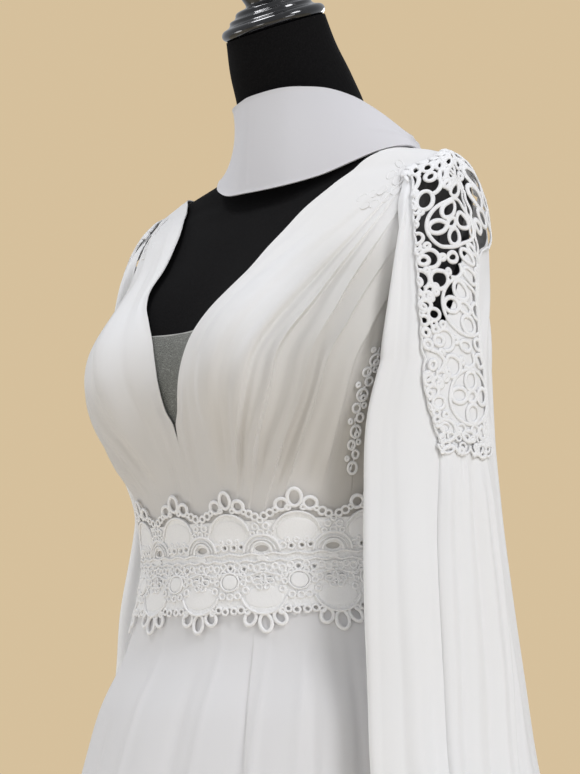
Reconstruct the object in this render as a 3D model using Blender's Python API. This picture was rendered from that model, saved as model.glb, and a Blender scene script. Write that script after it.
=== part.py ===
"""A wedding dress on a limbless dress form, in metres.

+Z is up, the front faces -Y and the wearer's left side is at +X. The origin is the centre of the underside
of the round base. Cloth is a thin wall on a form worked out from rings, fold lines and seam curves.
"""

import math

import bmesh
import bpy
import numpy as np
from mathutils import Vector
from mathutils.geometry import delaunay_2d_cdt

# Driving sizes of the cloth
CHIFFON = 0.0016
LACE = 0.0020
TULLE = 0.0010
BAND = 0.0024
SEAM_GAP = 0.0005
LAP = 0.0008
LACE_LAP = 0.0019
INSERT_LAP = 0.0018
SLEEVE_LAP = 0.0020
STAND_OFF = 0.0048
SHOULDER_REST = 0.0024
WAIST_Z = 1.0510
HEM_Z = 0.020

# Driving sizes of the form's stand
TORSO_FLOOR_Z = 0.800
BASE_THICKNESS = 0.022
POLE_RADIUS = 0.0125
FIT = 0.0003

# The padded form, a row for each ring: height, half width, depth in front, depth behind, centre y,
# roundness of the ring's outline, and how far the ring tips forward in degrees
TORSO = np.array([
    (0.800, 0.166, 0.108, 0.120, 0.000, 2.2, 0),
    (0.900, 0.162, 0.106, 0.115, 0.000, 2.2, 0),
    (0.980, 0.140, 0.098, 0.098, 0.000, 2.2, 0),
    (1.050, 0.124, 0.094, 0.086, 0.000, 2.1, 0),
    (1.110, 0.130, 0.100, 0.090, 0.002, 2.1, 0),
    (1.170, 0.142, 0.104, 0.098, 0.006, 2.2, 0),
    (1.230, 0.155, 0.104, 0.104, 0.012, 2.3, 0),
    (1.290, 0.168, 0.097, 0.104, 0.020, 2.4, 0),
    (1.345, 0.182, 0.077, 0.098, 0.026, 2.4, 0),
    (1.385, 0.190, 0.058, 0.086, 0.032, 2.2, 0),
    (1.402, 0.186, 0.049, 0.076, 0.034, 1.9, 0),
    (1.415, 0.164, 0.047, 0.070, 0.036, 1.8, 0),
    (1.427, 0.118, 0.046, 0.070, 0.038, 1.9, 2),
    (1.435, 0.078, 0.044, 0.076, 0.038, 2.0, 4),
    (1.447, 0.061, 0.044, 0.086, 0.037, 2.0, 8),
    (1.480, 0.056, 0.048, 0.090, 0.031, 2.0, 16),
    (1.510, 0.053, 0.049, 0.080, 0.020, 2.0, 21),
    (1.540, 0.051, 0.049, 0.065, 0.008, 2.0, 24),
    (1.568, 0.050, 0.049, 0.051, 0.002, 2.0, 25),
])

# The bust: where its fullest points lie, how far it spreads and how far it stands out
BUST_X = 0.086
BUST_Z = 1.214
BUST_SPREAD = 0.056
BUST_UP = 0.062
BUST_DOWN = 0.052
BUST_OUT = 0.066
BUST_BRIDGE = 0.50

# The dress below the bust, a row for each ring, to the outer face of the cloth, in the form's columns
DRESS = np.array([
    (0.020, 0.425, 0.385, 0.430, 0.004, 2.1, 0),
    (0.400, 0.320, 0.288, 0.305, 0.002, 2.1, 0),
    (0.700, 0.222, 0.198, 0.200, 0.000, 2.1, 0),
    (0.860, 0.179, 0.153, 0.150, 0.000, 2.1, 0),
    (0.915, 0.1705, 0.136, 0.134, 0.000, 2.1, 0),
    (0.980, 0.1495, 0.108, 0.107, 0.000, 2.1, 0),
    (1.015, 0.138, 0.1035, 0.098, 0.000, 2.1, 0),
    (1.050, 0.1305, 0.1005, 0.0925, 0.000, 2.1, 0),
    (1.090, 0.1335, 0.1045, 0.0945, 0.0013, 2.1, 0),
    (1.130, 0.1405, 0.108, 0.099, 0.0033, 2.1, 0),
])

# Skirt folds, a row for each: angle at the waist and at the hem in degrees, height at the hem, half width
SKIRT_FOLDS = (
    (-170, -168, 0.020, 8), (-148, -150, 0.014, 7), (-127, -131, 0.024, 9), (-108, -112, 0.016, 7),
    (-93, -92, 0.026, 8), (-72, -68, 0.018, 7), (-52, -46, 0.022, 9), (-34, -27, 0.015, 7),
    (-14, -8, 0.024, 8), (8, 11, 0.018, 8), (29, 31, 0.022, 8), (52, 54, 0.026, 9),
    (74, 75, 0.018, 7), (95, 97, 0.028, 9), (117, 116, 0.017, 7), (138, 137, 0.024, 9),
    (160, 160, 0.018, 8),
)
SKIRT_FOLDS_START = 0.972
SKIRT_COLUMNS = 28

# Half the V opening, a row for each height, up to the top of the shoulder
V_EDGE = np.array([
    (1.051, 0.0003), (1.150, 0.0003), (1.167, 0.0010), (1.180, 0.0075), (1.200, 0.0130), (1.220, 0.0185),
    (1.240, 0.0260), (1.260, 0.0385), (1.280, 0.0535), (1.300, 0.0635), (1.320, 0.0665), (1.340, 0.0730),
    (1.360, 0.0805), (1.380, 0.0930), (1.400, 0.1075), (1.410, 0.1140), (1.417, 0.1240), (1.4215, 0.1340),
    (1.4232, 0.1400),
])

# The armhole seam, a row for each point round it from the top of the shoulder by the front:
# share of the way round, angle round the form in degrees, height
ARMHOLE = np.array([
    (0.00, 0, 1.4090), (0.08, -19, 1.3985), (0.16, -32, 1.3850), (0.24, -30, 1.3600), (0.32, -24, 1.3300),
    (0.40, -17, 1.2920), (0.46, -13, 1.2620), (0.52, -6, 1.2460), (0.58, 4, 1.2440), (0.66, 16, 1.2620),
    (0.74, 26, 1.3000), (0.82, 31, 1.3400), (0.90, 29, 1.3750), (0.96, 15, 1.3990), (1.00, 0, 1.4090),
])

# Front panel fold lines from the V to the side seam: angles at the waist, at 1.11, 1.16 and 1.21 m,
# then angle and height half way up, and the place of the top end: on the shoulder seam (its height)
# or on the armhole (share of the way round it)
FRONT_LINES = (
    ("edge", -82, -82, -80, -76, -66, 1.305, "shoulder", 1.4170),
    ("fold_1", -75, -73, -64, -60, -55, 1.295, "armhole", 0.00),
    ("fold_2", -69, -67, -58, -50, -46, 1.285, "armhole", 0.12),
    ("fold_3", -63, -61, -51, -42, -41, 1.270, "armhole", 0.20),
    ("fold_4", -57, -53, -39, -33, -34, 1.265, "armhole", 0.27),
    ("fold_5", -50, -46, -34, -28, -28, 1.252, "armhole", 0.34),
    ("fold_6", -33, -29, -22, -20, -19, 1.242, "armhole", 0.42),
    ("side", -20, -19, -17, -14, -12, 1.232, "armhole", 0.48),
)
FOLD_FLAT = 1.0
FOLD_DEPTH = 0.0042
FOLD_COLUMNS = (0.0, 0.5, 0.9)

# Back panel lines from the centre back to the side seam, in the same columns
BACK_LINES = (
    ("centre", 90, 90, 90, 90, 90, 1.290, "neck", (90, 1.3720)),
    ("neck_1", 74, 74, 75, 76, 76, 1.290, "neck", (74, 1.3735)),
    ("neck_2", 62, 62, 63, 63, 62, 1.295, "neck", (54, 1.3830)),
    ("neck_3", 50, 50, 50, 50, 48, 1.300, "neck", (32, 1.4030)),
    ("strap", 40, 40, 40, 40, 39, 1.305, "shoulder", 1.4232),
    ("strap_out", 32, 32, 32, 33, 34, 1.305, "armhole", 1.00),
    ("arm_1", 20, 20, 21, 24, 28, 1.290, "armhole", 0.90),
    ("arm_2", 8, 8, 9, 12, 18, 1.260, "armhole", 0.78),
    ("arm_3", -6, -5, -4, -1, 2, 1.235, "armhole", 0.62),
    ("side", -20, -19, -17, -14, -12, 1.232, "armhole", 0.48),
)

# The shoulder seam lies on the form's ridge, and each panel stops this many degrees short of it
RIDGE_ANGLE = 1.0

# Stations up a panel: share of the way for the levels 1.051, 1.11, 1.16, 1.21 m, half way up and the top
LEVELS = (1.051, 1.110, 1.160, 1.210)
STATIONS = np.array([0.0, 0.16, 0.32, 0.48, 0.72, 1.0])
FRONT_ROWS = np.array([0, 0.055, 0.11, 0.165, 0.24, 0.33, 0.41, 0.48, 0.53, 0.58, 0.65, 0.72, 0.79, 0.86,
                       0.92, 0.965, 1.0])
BACK_ROWS = np.array([0, 0.055, 0.11, 0.165, 0.28, 0.40, 0.54, 0.68, 0.79, 0.86, 0.92, 0.965, 1.0])

# The sleeve below the armhole, a row for each section: height, centre x, centre y of the left sleeve,
# centre y of the right one, half thickness, half width, turn of its width outward at the back in degrees
SLEEVE = np.array([
    (0.790, 0.2415, -0.021, 0.062, 0.0275, 0.0830, 20),
    (0.876, 0.2200, -0.018, 0.060, 0.0260, 0.0780, 20),
    (0.950, 0.2080, -0.0125, 0.055, 0.0245, 0.0735, 20),
    (1.010, 0.2000, -0.010, 0.049, 0.0235, 0.0700, 20),
    (1.094, 0.1910, -0.006, 0.053, 0.0220, 0.0645, 20),
    (1.160, 0.1870, -0.003, 0.022, 0.0215, 0.0610, 19),
    (1.235, 0.1900, 0.006, 0.001, 0.0210, 0.0520, 14),
])
CUFF_Z = 0.790
CAP_Z = 1.215
CAP_REACH_TOP = 0.085
CAP_REACH_UNDERARM = 0.013
CAP_DROP_TOP = 0.130
CAP_DROP_UNDERARM = 0.022

# Edges of the sleeve's lace strip, a row for each way down: cap 0 to 1, then 1 plus metres below the cap;
# share round the sleeve of its front edge, of its back edge and of the line through its flowers
LACE_EDGES = np.array([
    (0.000, 0.150, -0.100, 0.060), (0.330, 0.150, -0.100, 0.054), (0.460, 0.141, -0.080, 0.043),
    (0.570, 0.130, -0.048, 0.024), (0.680, 0.118, -0.054, -0.003), (0.800, 0.106, -0.076, -0.027),
    (1.000, 0.088, -0.112, -0.056), (1.030, 0.066, -0.128, -0.064), (1.055, 0.037, -0.142, -0.066),
    (1.075, 0.022, -0.146, -0.067), (1.154, 0.037, -0.150, -0.067), (1.228, 0.044, -0.139, -0.067),
    (1.341, 0.054, -0.102, -0.067), (1.425, 0.058, -0.085, -0.067),
])
LACE_SPREAD = 0.360
FIRST_FLOWER = 0.084
LACE_REPEAT = 0.079
LACE_FLOWERS = 3
LACE_START = 0.004
LACE_END = 0.288
LACE_TUCK = 0.010
LOWER_TOP_Z = 1.150
SLEEVE_COLUMNS = 9
UNDERARM_GAP = 0.0022

# Waist lace: how many repeats go round, the height of its middle at the sides, how much lower in front,
# and how far its first repeat starts from the wearer's right side, in repeats
WAIST_REPEATS = 12
WAIST_LACE_Z = 1.0530
WAIST_LACE_DIP = 0.006
WAIST_LACE_TURN = 0.24

# One repeat of the waist lace's edges, across and up from its middle
WAIST_TOP_EDGE = (
    (-0.50, 0.041), (-0.38, 0.050), (-0.25, 0.047), (-0.14, 0.060), (0.0, 0.065), (0.14, 0.060),
    (0.25, 0.047), (0.38, 0.050),
)
WAIST_LOW_EDGE = (
    (-0.50, -0.0635), (-0.36, -0.059), (-0.25, -0.047), (-0.12, -0.050), (0.0, -0.042), (0.12, -0.050),
    (0.25, -0.047), (0.36, -0.059),
)

# Its gaps: share of the repeat across, height, half width, half height, turn in degrees
WAIST_GAPS = (
    (0.00, 0.053, 0.0040, 0.0062, 0), (-0.21, 0.038, 0.0036, 0.0060, 40), (0.21, 0.038, 0.0036, 0.0060, -40),
    (0.50, 0.012, 0.0100, 0.0044, 0), (0.00, -0.006, 0.0058, 0.0056, 0), (0.50, -0.024, 0.0056, 0.0056, 0),
    (0.50, -0.0530, 0.0038, 0.0058, 0),
)

# Gaps of one repeat of the sleeve lace, from its flower's centre: across to the front, down, half sizes, turn
PETAL_REACH = 0.0118
PETAL_HALF = (0.0040, 0.0046)
WEDGE_REACH = 0.0165
WEDGE_HALF = (0.0044, 0.0034)
CORNER_GAPS = ((0.0225, 0.0335), (0.0085, 0.0415), (-0.0075, 0.0350))
CORNER_HALF = (0.0052, 0.0060)
TOP_GAPS = ((0.0205, -0.0240), (0.0090, -0.0440), (-0.0040, -0.0310), (0.0270, -0.0450), (-0.0220, -0.0400))

# Throat band, a row for each way round it from centre front by the left: low edge x, y, z,
# top edge x, y, z, and how far it bows out at half height
COLLAR = np.array([
    (0.000, -0.033, 1.3960, 0.000, -0.0290, 1.4915, 0.000),
    (0.036, -0.032, 1.3950, 0.034, -0.0225, 1.4935, 0.001),
    (0.074, -0.018, 1.4010, 0.058, -0.0020, 1.4930, 0.002),
    (0.104, -0.002, 1.4130, 0.076, 0.0190, 1.4870, 0.003),
    (0.124, 0.014, 1.4225, 0.101, 0.0350, 1.4680, 0.003),
    (0.140, 0.034, 1.4270, 0.128, 0.0450, 1.4420, 0.001),
    (0.130, 0.066, 1.4250, 0.114, 0.0680, 1.4480, 0.001),
    (0.092, 0.102, 1.4160, 0.074, 0.1010, 1.4650, 0.000),
    (0.040, 0.121, 1.4120, 0.033, 0.1280, 1.4740, 0.000),
    (0.000, 0.125, 1.4110, 0.000, 0.1350, 1.4760, 0.000),
    (-0.040, 0.121, 1.4120, -0.033, 0.1280, 1.4740, 0.000),
    (-0.078, 0.101, 1.4190, -0.060, 0.1000, 1.4740, -0.003),
    (-0.099, 0.076, 1.4310, -0.069, 0.0720, 1.4800, -0.004),
    (-0.104, 0.046, 1.4335, -0.070, 0.0450, 1.4850, -0.005),
    (-0.086, 0.016, 1.4310, -0.059, 0.0170, 1.4890, -0.012),
    (-0.069, -0.001, 1.4260, -0.049, 0.0005, 1.4910, -0.011),
    (-0.050, -0.022, 1.4080, -0.038, -0.0145, 1.4910, -0.007),
    (-0.026, -0.031, 1.3975, -0.020, -0.0230, 1.4910, -0.004),
])

# The turned cap on the neck: radius and height above the neck's top, from the rim to the knob
CAP_PROFILE = (
    (0.0480, 0.0000), (0.0515, 0.0030), (0.0522, 0.0065), (0.0500, 0.0105), (0.0440, 0.0120),
    (0.0415, 0.0140), (0.0410, 0.0175), (0.0345, 0.0185), (0.0330, 0.0245), (0.0210, 0.0260),
    (0.0215, 0.0300), (0.0240, 0.0360), (0.0215, 0.0430), (0.0155, 0.0470), (0.0150, 0.0510),
    (0.0215, 0.0570), (0.0250, 0.0650), (0.0215, 0.0740), (0.0110, 0.0800),
)
CAP_SEGMENTS = 16

# The round base: radius and height, from its underside to the middle of its top
BASE_PROFILE = (
    (0.167, 0.0), (0.170, 0.003), (0.170, 0.010), (0.164, 0.016), (0.060, 0.021), (0.030, BASE_THICKNESS),
)
FORM_STEPS = (0, 7, 15, 26, 38, 50, 62, 76, 90, 104, 118, 132, 147, 163)
BASE_SEGMENTS = 28

# The side seam: height and angle round the form in degrees
SIDE_SEAM = np.array([(1.051, -20.0), (1.110, -19.0), (1.160, -17.0), (1.210, -14.0), (1.232, -12.0)])
SIDE_LACE_WIDTH = 0.022
SIDE_LACE_RADIUS = 0.150
SIDE_LACE_LOW = 1.122
SIDE_LACE_HIGH = 1.232
INSERT_TOP_Z = 1.2480
INSERT_LOW_Z = 1.1600
INSERT_TUCK = 0.008


# Curves and rings

def monotone(x, knots, values):
    """A smooth curve through the table's points that never overshoots them."""
    x = np.asarray(x, float)
    step = np.diff(knots)
    rise = np.diff(values) / step
    slope = np.zeros(len(knots))
    slope[0] = rise[0]
    slope[-1] = rise[-1]
    for i in range(1, len(knots) - 1):
        if rise[i - 1] * rise[i] > 0:
            first = 2 * step[i] + step[i - 1]
            second = step[i] + 2 * step[i - 1]
            slope[i] = (first + second) / (first / rise[i - 1] + second / rise[i])
    k = np.clip(np.searchsorted(knots, x) - 1, 0, len(knots) - 2)
    t = np.clip((x - knots[k]) / step[k], 0, 1)
    low = (2 * t**3 - 3 * t**2 + 1) * values[k] + (t**3 - 2 * t**2 + t) * step[k] * slope[k]
    high = (3 * t**2 - 2 * t**3) * values[k + 1] + (t**3 - t**2) * step[k] * slope[k + 1]
    return low + high


def column(table, index, z):
    return monotone(z, table[:, 0], table[:, index])


def smooth(t):
    t = np.clip(t, 0, 1)
    return t * t * (3 - 2 * t)


def bust(x, z):
    rise = z - BUST_Z
    spread = np.where(rise > 0, BUST_UP, BUST_DOWN)
    q = np.abs(x) / BUST_X
    outside = np.exp(-((np.abs(x) - BUST_X) / BUST_SPREAD) ** 2 / 2)
    between = BUST_BRIDGE + (1 - BUST_BRIDGE) * np.sin(math.pi / 2 * np.clip(q, 0, 1)) ** 2
    return BUST_OUT * np.where(q > 1, outside, between) * np.exp(-(rise / spread) ** 2 / 2)


def ring(table, angle, z, with_bust=False):
    """The point of a table's ring at an angle in degrees, measured from the wearer's left."""
    width, front, back, centre, round_, tilt = (column(table, i, z) for i in range(1, 7))
    turn = np.radians(angle)
    c, s = np.cos(turn), np.sin(turn)
    x = width * np.sign(c) * np.abs(c) ** (2 / round_)
    y = np.where(s < 0, front, back) * np.sign(s) * np.abs(s) ** (2 / round_)
    if with_bust:
        y = y - bust(x, z) * np.sqrt(np.clip(-s, 0, 1))
    lean = np.radians(tilt)
    return np.stack([x, centre + y * np.cos(lean), z + y * np.sin(lean)], -1)


def torso(angle, z):
    return ring(TORSO, angle, z, with_bust=True)


def dress(angle, z):
    return ring(DRESS, angle, z)


def normal(surface, u, v, du, dv):
    """The outward normal of a surface by central differences."""
    along_u = surface(u + du, v) - surface(u - du, v)
    along_v = surface(u, v + dv) - surface(u, v - dv)
    n = np.cross(along_u, along_v)
    return n / np.linalg.norm(n, axis=-1, keepdims=True)


def torso_normal(angle, z):
    return normal(torso, angle, z, 0.4, 0.0008)


def dress_normal(angle, z):
    return normal(dress, angle, z, 0.4, 0.0008)


# Meshes

def colour(name, base, roughness, sheen=0.0):
    material = bpy.data.materials.new(name)
    material.use_nodes = True
    shader = material.node_tree.nodes["Principled BSDF"]
    shader.inputs["Base Color"].default_value = (*base, 1.0)
    shader.inputs["Roughness"].default_value = roughness
    shader.inputs["Metallic"].default_value = 0.0
    shader.inputs["Sheen Weight"].default_value = sheen
    return material


def add_mesh(name, points, faces, material):
    mesh = bpy.data.meshes.new(name)
    mesh.from_pydata([tuple(p) for p in points], [], [tuple(f) for f in faces])
    body = bmesh.new()
    body.from_mesh(mesh)
    bmesh.ops.recalc_face_normals(body, faces=body.faces)
    body.to_mesh(mesh)
    body.free()
    mesh.materials.append(material)
    mesh.shade_smooth()
    mesh.set_sharp_from_angle(angle=math.radians(50))
    piece = bpy.data.objects.new(name, mesh)
    bpy.context.scene.collection.objects.link(piece)
    return piece


def wall(name, inner, outer, material, closed=False):
    """A closed thin wall between two grids of points, rows by columns, open at its edges or a full loop."""
    rows, columns = inner.shape[:2]
    points = np.concatenate([inner.reshape(-1, 3), outer.reshape(-1, 3)])
    far = rows * columns
    faces = []
    spans = columns if closed else columns - 1
    for r in range(rows - 1):
        for c in range(spans):
            a = r * columns + c
            b = r * columns + (c + 1) % columns
            d = a + columns
            e = b + columns
            faces += [(a, b, e), (a, e, d), (far + a, far + e, far + b), (far + a, far + d, far + e)]
    for r in (0, rows - 1):
        for c in range(spans):
            a = r * columns + c
            b = r * columns + (c + 1) % columns
            faces += [(a, far + a, far + b), (a, far + b, b)]
    if not closed:
        for c in (0, columns - 1):
            for r in range(rows - 1):
                a = r * columns + c
                b = a + columns
                faces += [(a, b, far + b), (a, far + b, far + a)]
    return add_mesh(name, points, faces, material)


def turned(name, rings, material):
    """A closed solid through stacked rings of points, with a fan at each end."""
    count = len(rings[0])
    points = [tuple(p) for level in rings for p in level]
    faces = []
    for r in range(len(rings) - 1):
        for c in range(count):
            a = r * count + c
            b = r * count + (c + 1) % count
            faces += [(a, b, b + count), (a, b + count, a + count)]
    for r in (0, len(rings) - 1):
        points.append(tuple(np.mean(rings[r], axis=0)))
        for c in range(count):
            faces.append((len(points) - 1, r * count + c, r * count + (c + 1) % count))
    return add_mesh(name, points, faces, material)


def inside(point, outline):
    """Whether a flat point lies inside a flat outline."""
    x, y = point
    crossed = False
    for (ax, ay), (bx, by) in zip(outline, outline[1:] + outline[:1]):
        if (ay > y) != (by > y) and x < ax + (y - ay) / (by - ay) * (bx - ax):
            crossed = not crossed
    return crossed


def gap_outline(centre, half, turn, sides=5):
    """An oval gap with a few sides."""
    c, s = math.cos(math.radians(turn)), math.sin(math.radians(turn))
    outline = []
    for k in range(sides):
        a = 2 * math.pi * (k + 0.5) / sides
        x, y = half[0] * math.cos(a), half[1] * math.sin(a)
        outline.append((centre[0] + x * c - y * s, centre[1] + x * s + y * c))
    return outline


def pierced(name, outline, gaps, pitch, place, material):
    """A thin plate with gaps cut through it, laid out flat and then placed on a curved form.

    place takes flat points and the height above the form, and returns points in space.
    """
    loops = [outline] + gaps
    flat = [p for loop in loops for p in loop]
    edges = []
    start = 0
    for loop in loops:
        edges += [(start + k, start + (k + 1) % len(loop)) for k in range(len(loop))]
        start += len(loop)
    rim = np.array(flat)
    low, high = np.min(outline, axis=0), np.max(outline, axis=0)
    for x in np.arange(low[0] + pitch / 2, high[0], pitch):
        for y in np.arange(low[1] + pitch / 2, high[1], pitch):
            clear = np.min(np.hypot(rim[:, 0] - x, rim[:, 1] - y)) > pitch * 0.45
            if clear and inside((x, y), outline) and not any(inside((x, y), g) for g in gaps):
                flat.append((x, y))
    scale = 1000.0
    found = delaunay_2d_cdt([Vector((x * scale, y * scale)) for x, y in flat], edges, [], 0, 1e-5)
    spots = np.array([(v.x / scale, v.y / scale) for v in found[0]])
    kept = []
    for face in found[2]:
        middle = tuple(spots[list(face)].mean(axis=0))
        if inside(middle, outline) and not any(inside(middle, g) for g in gaps):
            kept.append(tuple(face))
    used = sorted({k for face in kept for k in face})
    place_of = {k: i for i, k in enumerate(used)}
    kept = [tuple(place_of[k] for k in face) for face in kept]
    spots = spots[used]
    seen = {}
    for a, b, c in kept:
        for pair in ((a, b), (b, c), (c, a)):
            key = tuple(sorted(pair))
            seen[key] = seen.get(key, 0) + 1
    far = len(spots)
    faces = kept + [(far + a, far + c, far + b) for a, b, c in kept]
    for (a, b), count in seen.items():
        if count == 1:
            faces += [(a, b, far + b), (a, far + b, far + a)]
    points = np.concatenate([place(spots, 0.0), place(spots, LACE)])
    return add_mesh(name, points, faces, material)


# The form and its stand

def build_form(jersey, lacquer):
    steps = np.array(FORM_STEPS, float)
    angles = -90 + np.r_[steps, 180, 360 - steps[:0:-1]]
    heights = np.r_[TORSO[:5, 0], 1.140, 1.170, 1.200, 1.230, 1.260, 1.290, 1.320,
                    TORSO[8:, 0]]
    turned("form_torso", [torso(angles, np.full(len(angles), z)) for z in heights], jersey)

    top = TORSO[-1]
    lean = math.radians(top[6])
    seat = np.array([0.0, top[4], top[0]])
    across = np.array([0.0, math.cos(lean), math.sin(lean)])
    up = np.array([0.0, -math.sin(lean), math.cos(lean)])
    turns = np.arange(CAP_SEGMENTS) * 2 * math.pi / CAP_SEGMENTS
    rings = []
    for radius, height in CAP_PROFILE:
        side = np.outer(np.cos(turns) * radius, (1, 0, 0)) + np.outer(np.sin(turns) * radius, across)
        rings.append(seat + side + up * (height + FIT))
    turned("form_neck_cap", rings, lacquer)

    pole_low = BASE_THICKNESS + FIT
    pole_high = TORSO_FLOOR_Z - FIT
    bpy.ops.mesh.primitive_cylinder_add(vertices=16, radius=POLE_RADIUS, depth=pole_high - pole_low,
                                        location=(0, 0, (pole_low + pole_high) / 2))
    pole = bpy.context.object
    pole.name = "form_pole"
    pole.data.materials.append(lacquer)
    pole.data.shade_smooth()
    pole.data.set_sharp_from_angle(angle=math.radians(50))

    turns = np.arange(BASE_SEGMENTS) * 2 * math.pi / BASE_SEGMENTS
    rings = []
    for radius, height in BASE_PROFILE:
        level = np.full(BASE_SEGMENTS, height)
        rings.append(np.stack([np.cos(turns) * radius, np.sin(turns) * radius, level], -1))
    turned("form_base", rings, lacquer)


# Fold lines of the upper body

def half_angle(x, z):
    """The angle in front at which the form is x away from its centre plane."""
    width = column(TORSO, 1, z)
    round_ = column(TORSO, 5, z)
    return -np.degrees(np.arccos(np.clip(x / width, 0, 1) ** (round_ / 2)))


def armhole(share):
    """Angle and height of the armhole seam, by the share of the way round it."""
    share = np.asarray(share, float) % 1.0
    knots = np.r_[ARMHOLE[-3:-1, 0] - 1, ARMHOLE[:, 0], ARMHOLE[1:3, 0] + 1]
    angle = np.r_[ARMHOLE[-3:-1, 1], ARMHOLE[:, 1], ARMHOLE[1:3, 1]]
    height = np.r_[ARMHOLE[-3:-1, 2], ARMHOLE[:, 2], ARMHOLE[1:3, 2]]
    return monotone(share, knots, angle), monotone(share, knots, height)


def by_length(points, share):
    """Points evenly along a line, by share of its length."""
    run = np.r_[0, np.cumsum(np.linalg.norm(np.diff(points, axis=0), axis=1))]
    return np.stack([np.interp(share * run[-1], run, points[:, k]) for k in range(3)], -1)


def v_line(shares):
    """The V's edge from the waist to the shoulder seam, at the panel's stations."""
    split = STATIONS[3]
    z = monotone(np.minimum(shares, split), STATIONS[:4], np.array(LEVELS))
    opening = monotone(z, V_EDGE[:, 0], V_EDGE[:, 1])
    angle = half_angle(opening, z)
    dense_z = np.r_[np.linspace(LEVELS[3], 1.417, 60), np.linspace(1.4175, V_EDGE[-1, 0], 20)]
    dense_angle = half_angle(monotone(dense_z, V_EDGE[:, 0], V_EDGE[:, 1]), dense_z)
    dense_angle = np.minimum(dense_angle, -RIDGE_ANGLE)
    above = np.clip((shares - split) / (1 - split), 0, 1)
    upper = by_length(torso(dense_angle, dense_z), above)
    return np.where((shares > split)[:, None], upper, torso(angle, z))


def table_line(row, shares):
    """A fold line of the table, at the panel's stations."""
    end_kind, end = row[7], row[8]
    facing = 1 if row[1] > 0 or row[0].startswith("arm") else -1
    if end_kind == "armhole":
        top = [float(v) for v in armhole(end)]
        if end in (0.00, 1.00):
            top[0] = facing * RIDGE_ANGLE
    elif end_kind == "shoulder":
        top = [facing * RIDGE_ANGLE, end]
    else:
        top = list(end)
    at = torso(np.array([*row[1:6], top[0]], float), np.array([*LEVELS, row[6], top[1]], float))
    return np.stack([monotone(shares, STATIONS, at[:, k]) for k in range(3)], -1)


def nearest(points):
    """Angle and height of the form's nearest point to each of some points."""
    step_z = np.r_[np.arange(1.040, 1.380, 0.004), np.arange(1.380, 1.4270, 0.0005)]
    angle_net, z_net = np.meshgrid(np.arange(-95.0, 95.5, 1.0), step_z)
    net = torso(angle_net, z_net).reshape(-1, 3)
    flat = points.reshape(-1, 3)
    found = np.array([np.argmin(np.sum((net - p) ** 2, axis=1)) for p in flat])
    angle, z = angle_net.reshape(-1)[found], z_net.reshape(-1)[found]
    for _ in range(6):
        gap = flat - torso(angle, z)
        by_angle = (torso(angle + 0.1, z) - torso(angle - 0.1, z)) / 0.2
        by_z = (torso(angle, z + 0.0002) - torso(angle, z - 0.0002)) / 0.0004
        aa, zz = np.sum(by_angle**2, 1), np.sum(by_z**2, 1)
        az = np.sum(by_angle * by_z, 1)
        ga, gz = np.sum(gap * by_angle, 1), np.sum(gap * by_z, 1)
        scale = aa * zz - az**2
        angle = angle + np.clip((ga * zz - gz * az) / scale, -0.5, 0.5)
        z = z + np.clip((gz * aa - ga * az) / scale, -0.001, 0.001)
    return angle.reshape(points.shape[:-1]), z.reshape(points.shape[:-1])


def panel(lines, columns):
    """Angles and heights on a grid: between the lines in space, then set down on the form."""
    knots = np.arange(len(lines), dtype=float)
    points = np.array(lines)
    grid = np.empty((points.shape[1], len(columns), 3))
    for r in range(points.shape[1]):
        for k in range(3):
            grid[r, :, k] = monotone(columns, knots, points[:, r, k])
    return nearest(grid)


def stand_off(z):
    """How far the cloth stands off the form: it rests on the shoulders and hangs clear below them."""
    return SHOULDER_REST + (STAND_OFF - SHOULDER_REST) * smooth((1.408 - z) / 0.055)


def on_form(angle, z, lift):
    return torso(angle, z) + torso_normal(angle, z) * np.asarray(lift)[..., None]


def inset_ends(values, gap):
    """Column places with the first and last moved in by a share of a column, for the seam's gap."""
    values = np.array(values, float)
    values[0] += gap
    values[-1] -= gap
    return values


def mirrored(points, side):
    return points * np.array([side, 1.0, 1.0])


def build_front(side, name, cloth):
    shares = FRONT_ROWS
    lines = [v_line(shares)] + [table_line(row, shares) for row in FRONT_LINES]
    count = len(lines) - 1
    columns = [0.0, 0.5]
    for k in range(1, count - 1):
        columns += [k + c for c in FOLD_COLUMNS]
    columns += [count - 1, count - 0.5, count]
    columns = inset_ends(columns, 0.016)
    angle, z = panel(lines, columns)
    place = columns[None, :] - FOLD_FLAT
    phase = place % 1.0
    tooth = np.where(phase < 0.9, phase / 0.9, (1 - phase) / 0.1)
    folded = (place > 0) & (place < count - 2)
    height = smooth((shares - 0.17) / 0.12) * (1 - 0.75 * smooth((shares - 0.80) / 0.2))
    relief = FOLD_DEPTH * np.where(folded, tooth, 0) * height[:, None]
    lift = stand_off(z) + relief
    inner = mirrored(on_form(angle, z, lift), side)
    outer = mirrored(on_form(angle, z, lift + CHIFFON), side)
    wall(name, inner, outer, cloth)


def build_back(side, name, cloth):
    shares = BACK_ROWS
    lines = [table_line(row, shares) for row in BACK_LINES]
    columns = [0, 1, 2, 3, 4, 4.5, 5, 5.5, 6, 6.5, 7, 8, 9]
    columns = inset_ends(columns, 0.016)
    angle, z = panel(lines, columns)
    lift = stand_off(z)
    inner = mirrored(on_form(angle, z, lift), side)
    outer = mirrored(on_form(angle, z, lift + CHIFFON), side)
    wall(name, inner, outer, cloth)


def build_insert(tulle):
    z = np.linspace(INSERT_LOW_Z, INSERT_TOP_Z, 8)
    opening = monotone(z, V_EDGE[:, 0], V_EDGE[:, 1]) + INSERT_TUCK
    across = np.linspace(-1, 1, 9)
    x = opening[:, None] * across[None, :]
    rows = np.repeat(z[:, None], 9, axis=1)
    angle = half_angle(np.abs(x), rows)
    angle = np.where(x < 0, -180 - angle, angle)
    lift = STAND_OFF - INSERT_LAP - TULLE
    inner = on_form(angle, rows, np.full(x.shape, lift))
    outer = on_form(angle, rows, np.full(x.shape, lift + TULLE))
    wall("bodice_insert", inner, outer, tulle)


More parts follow.
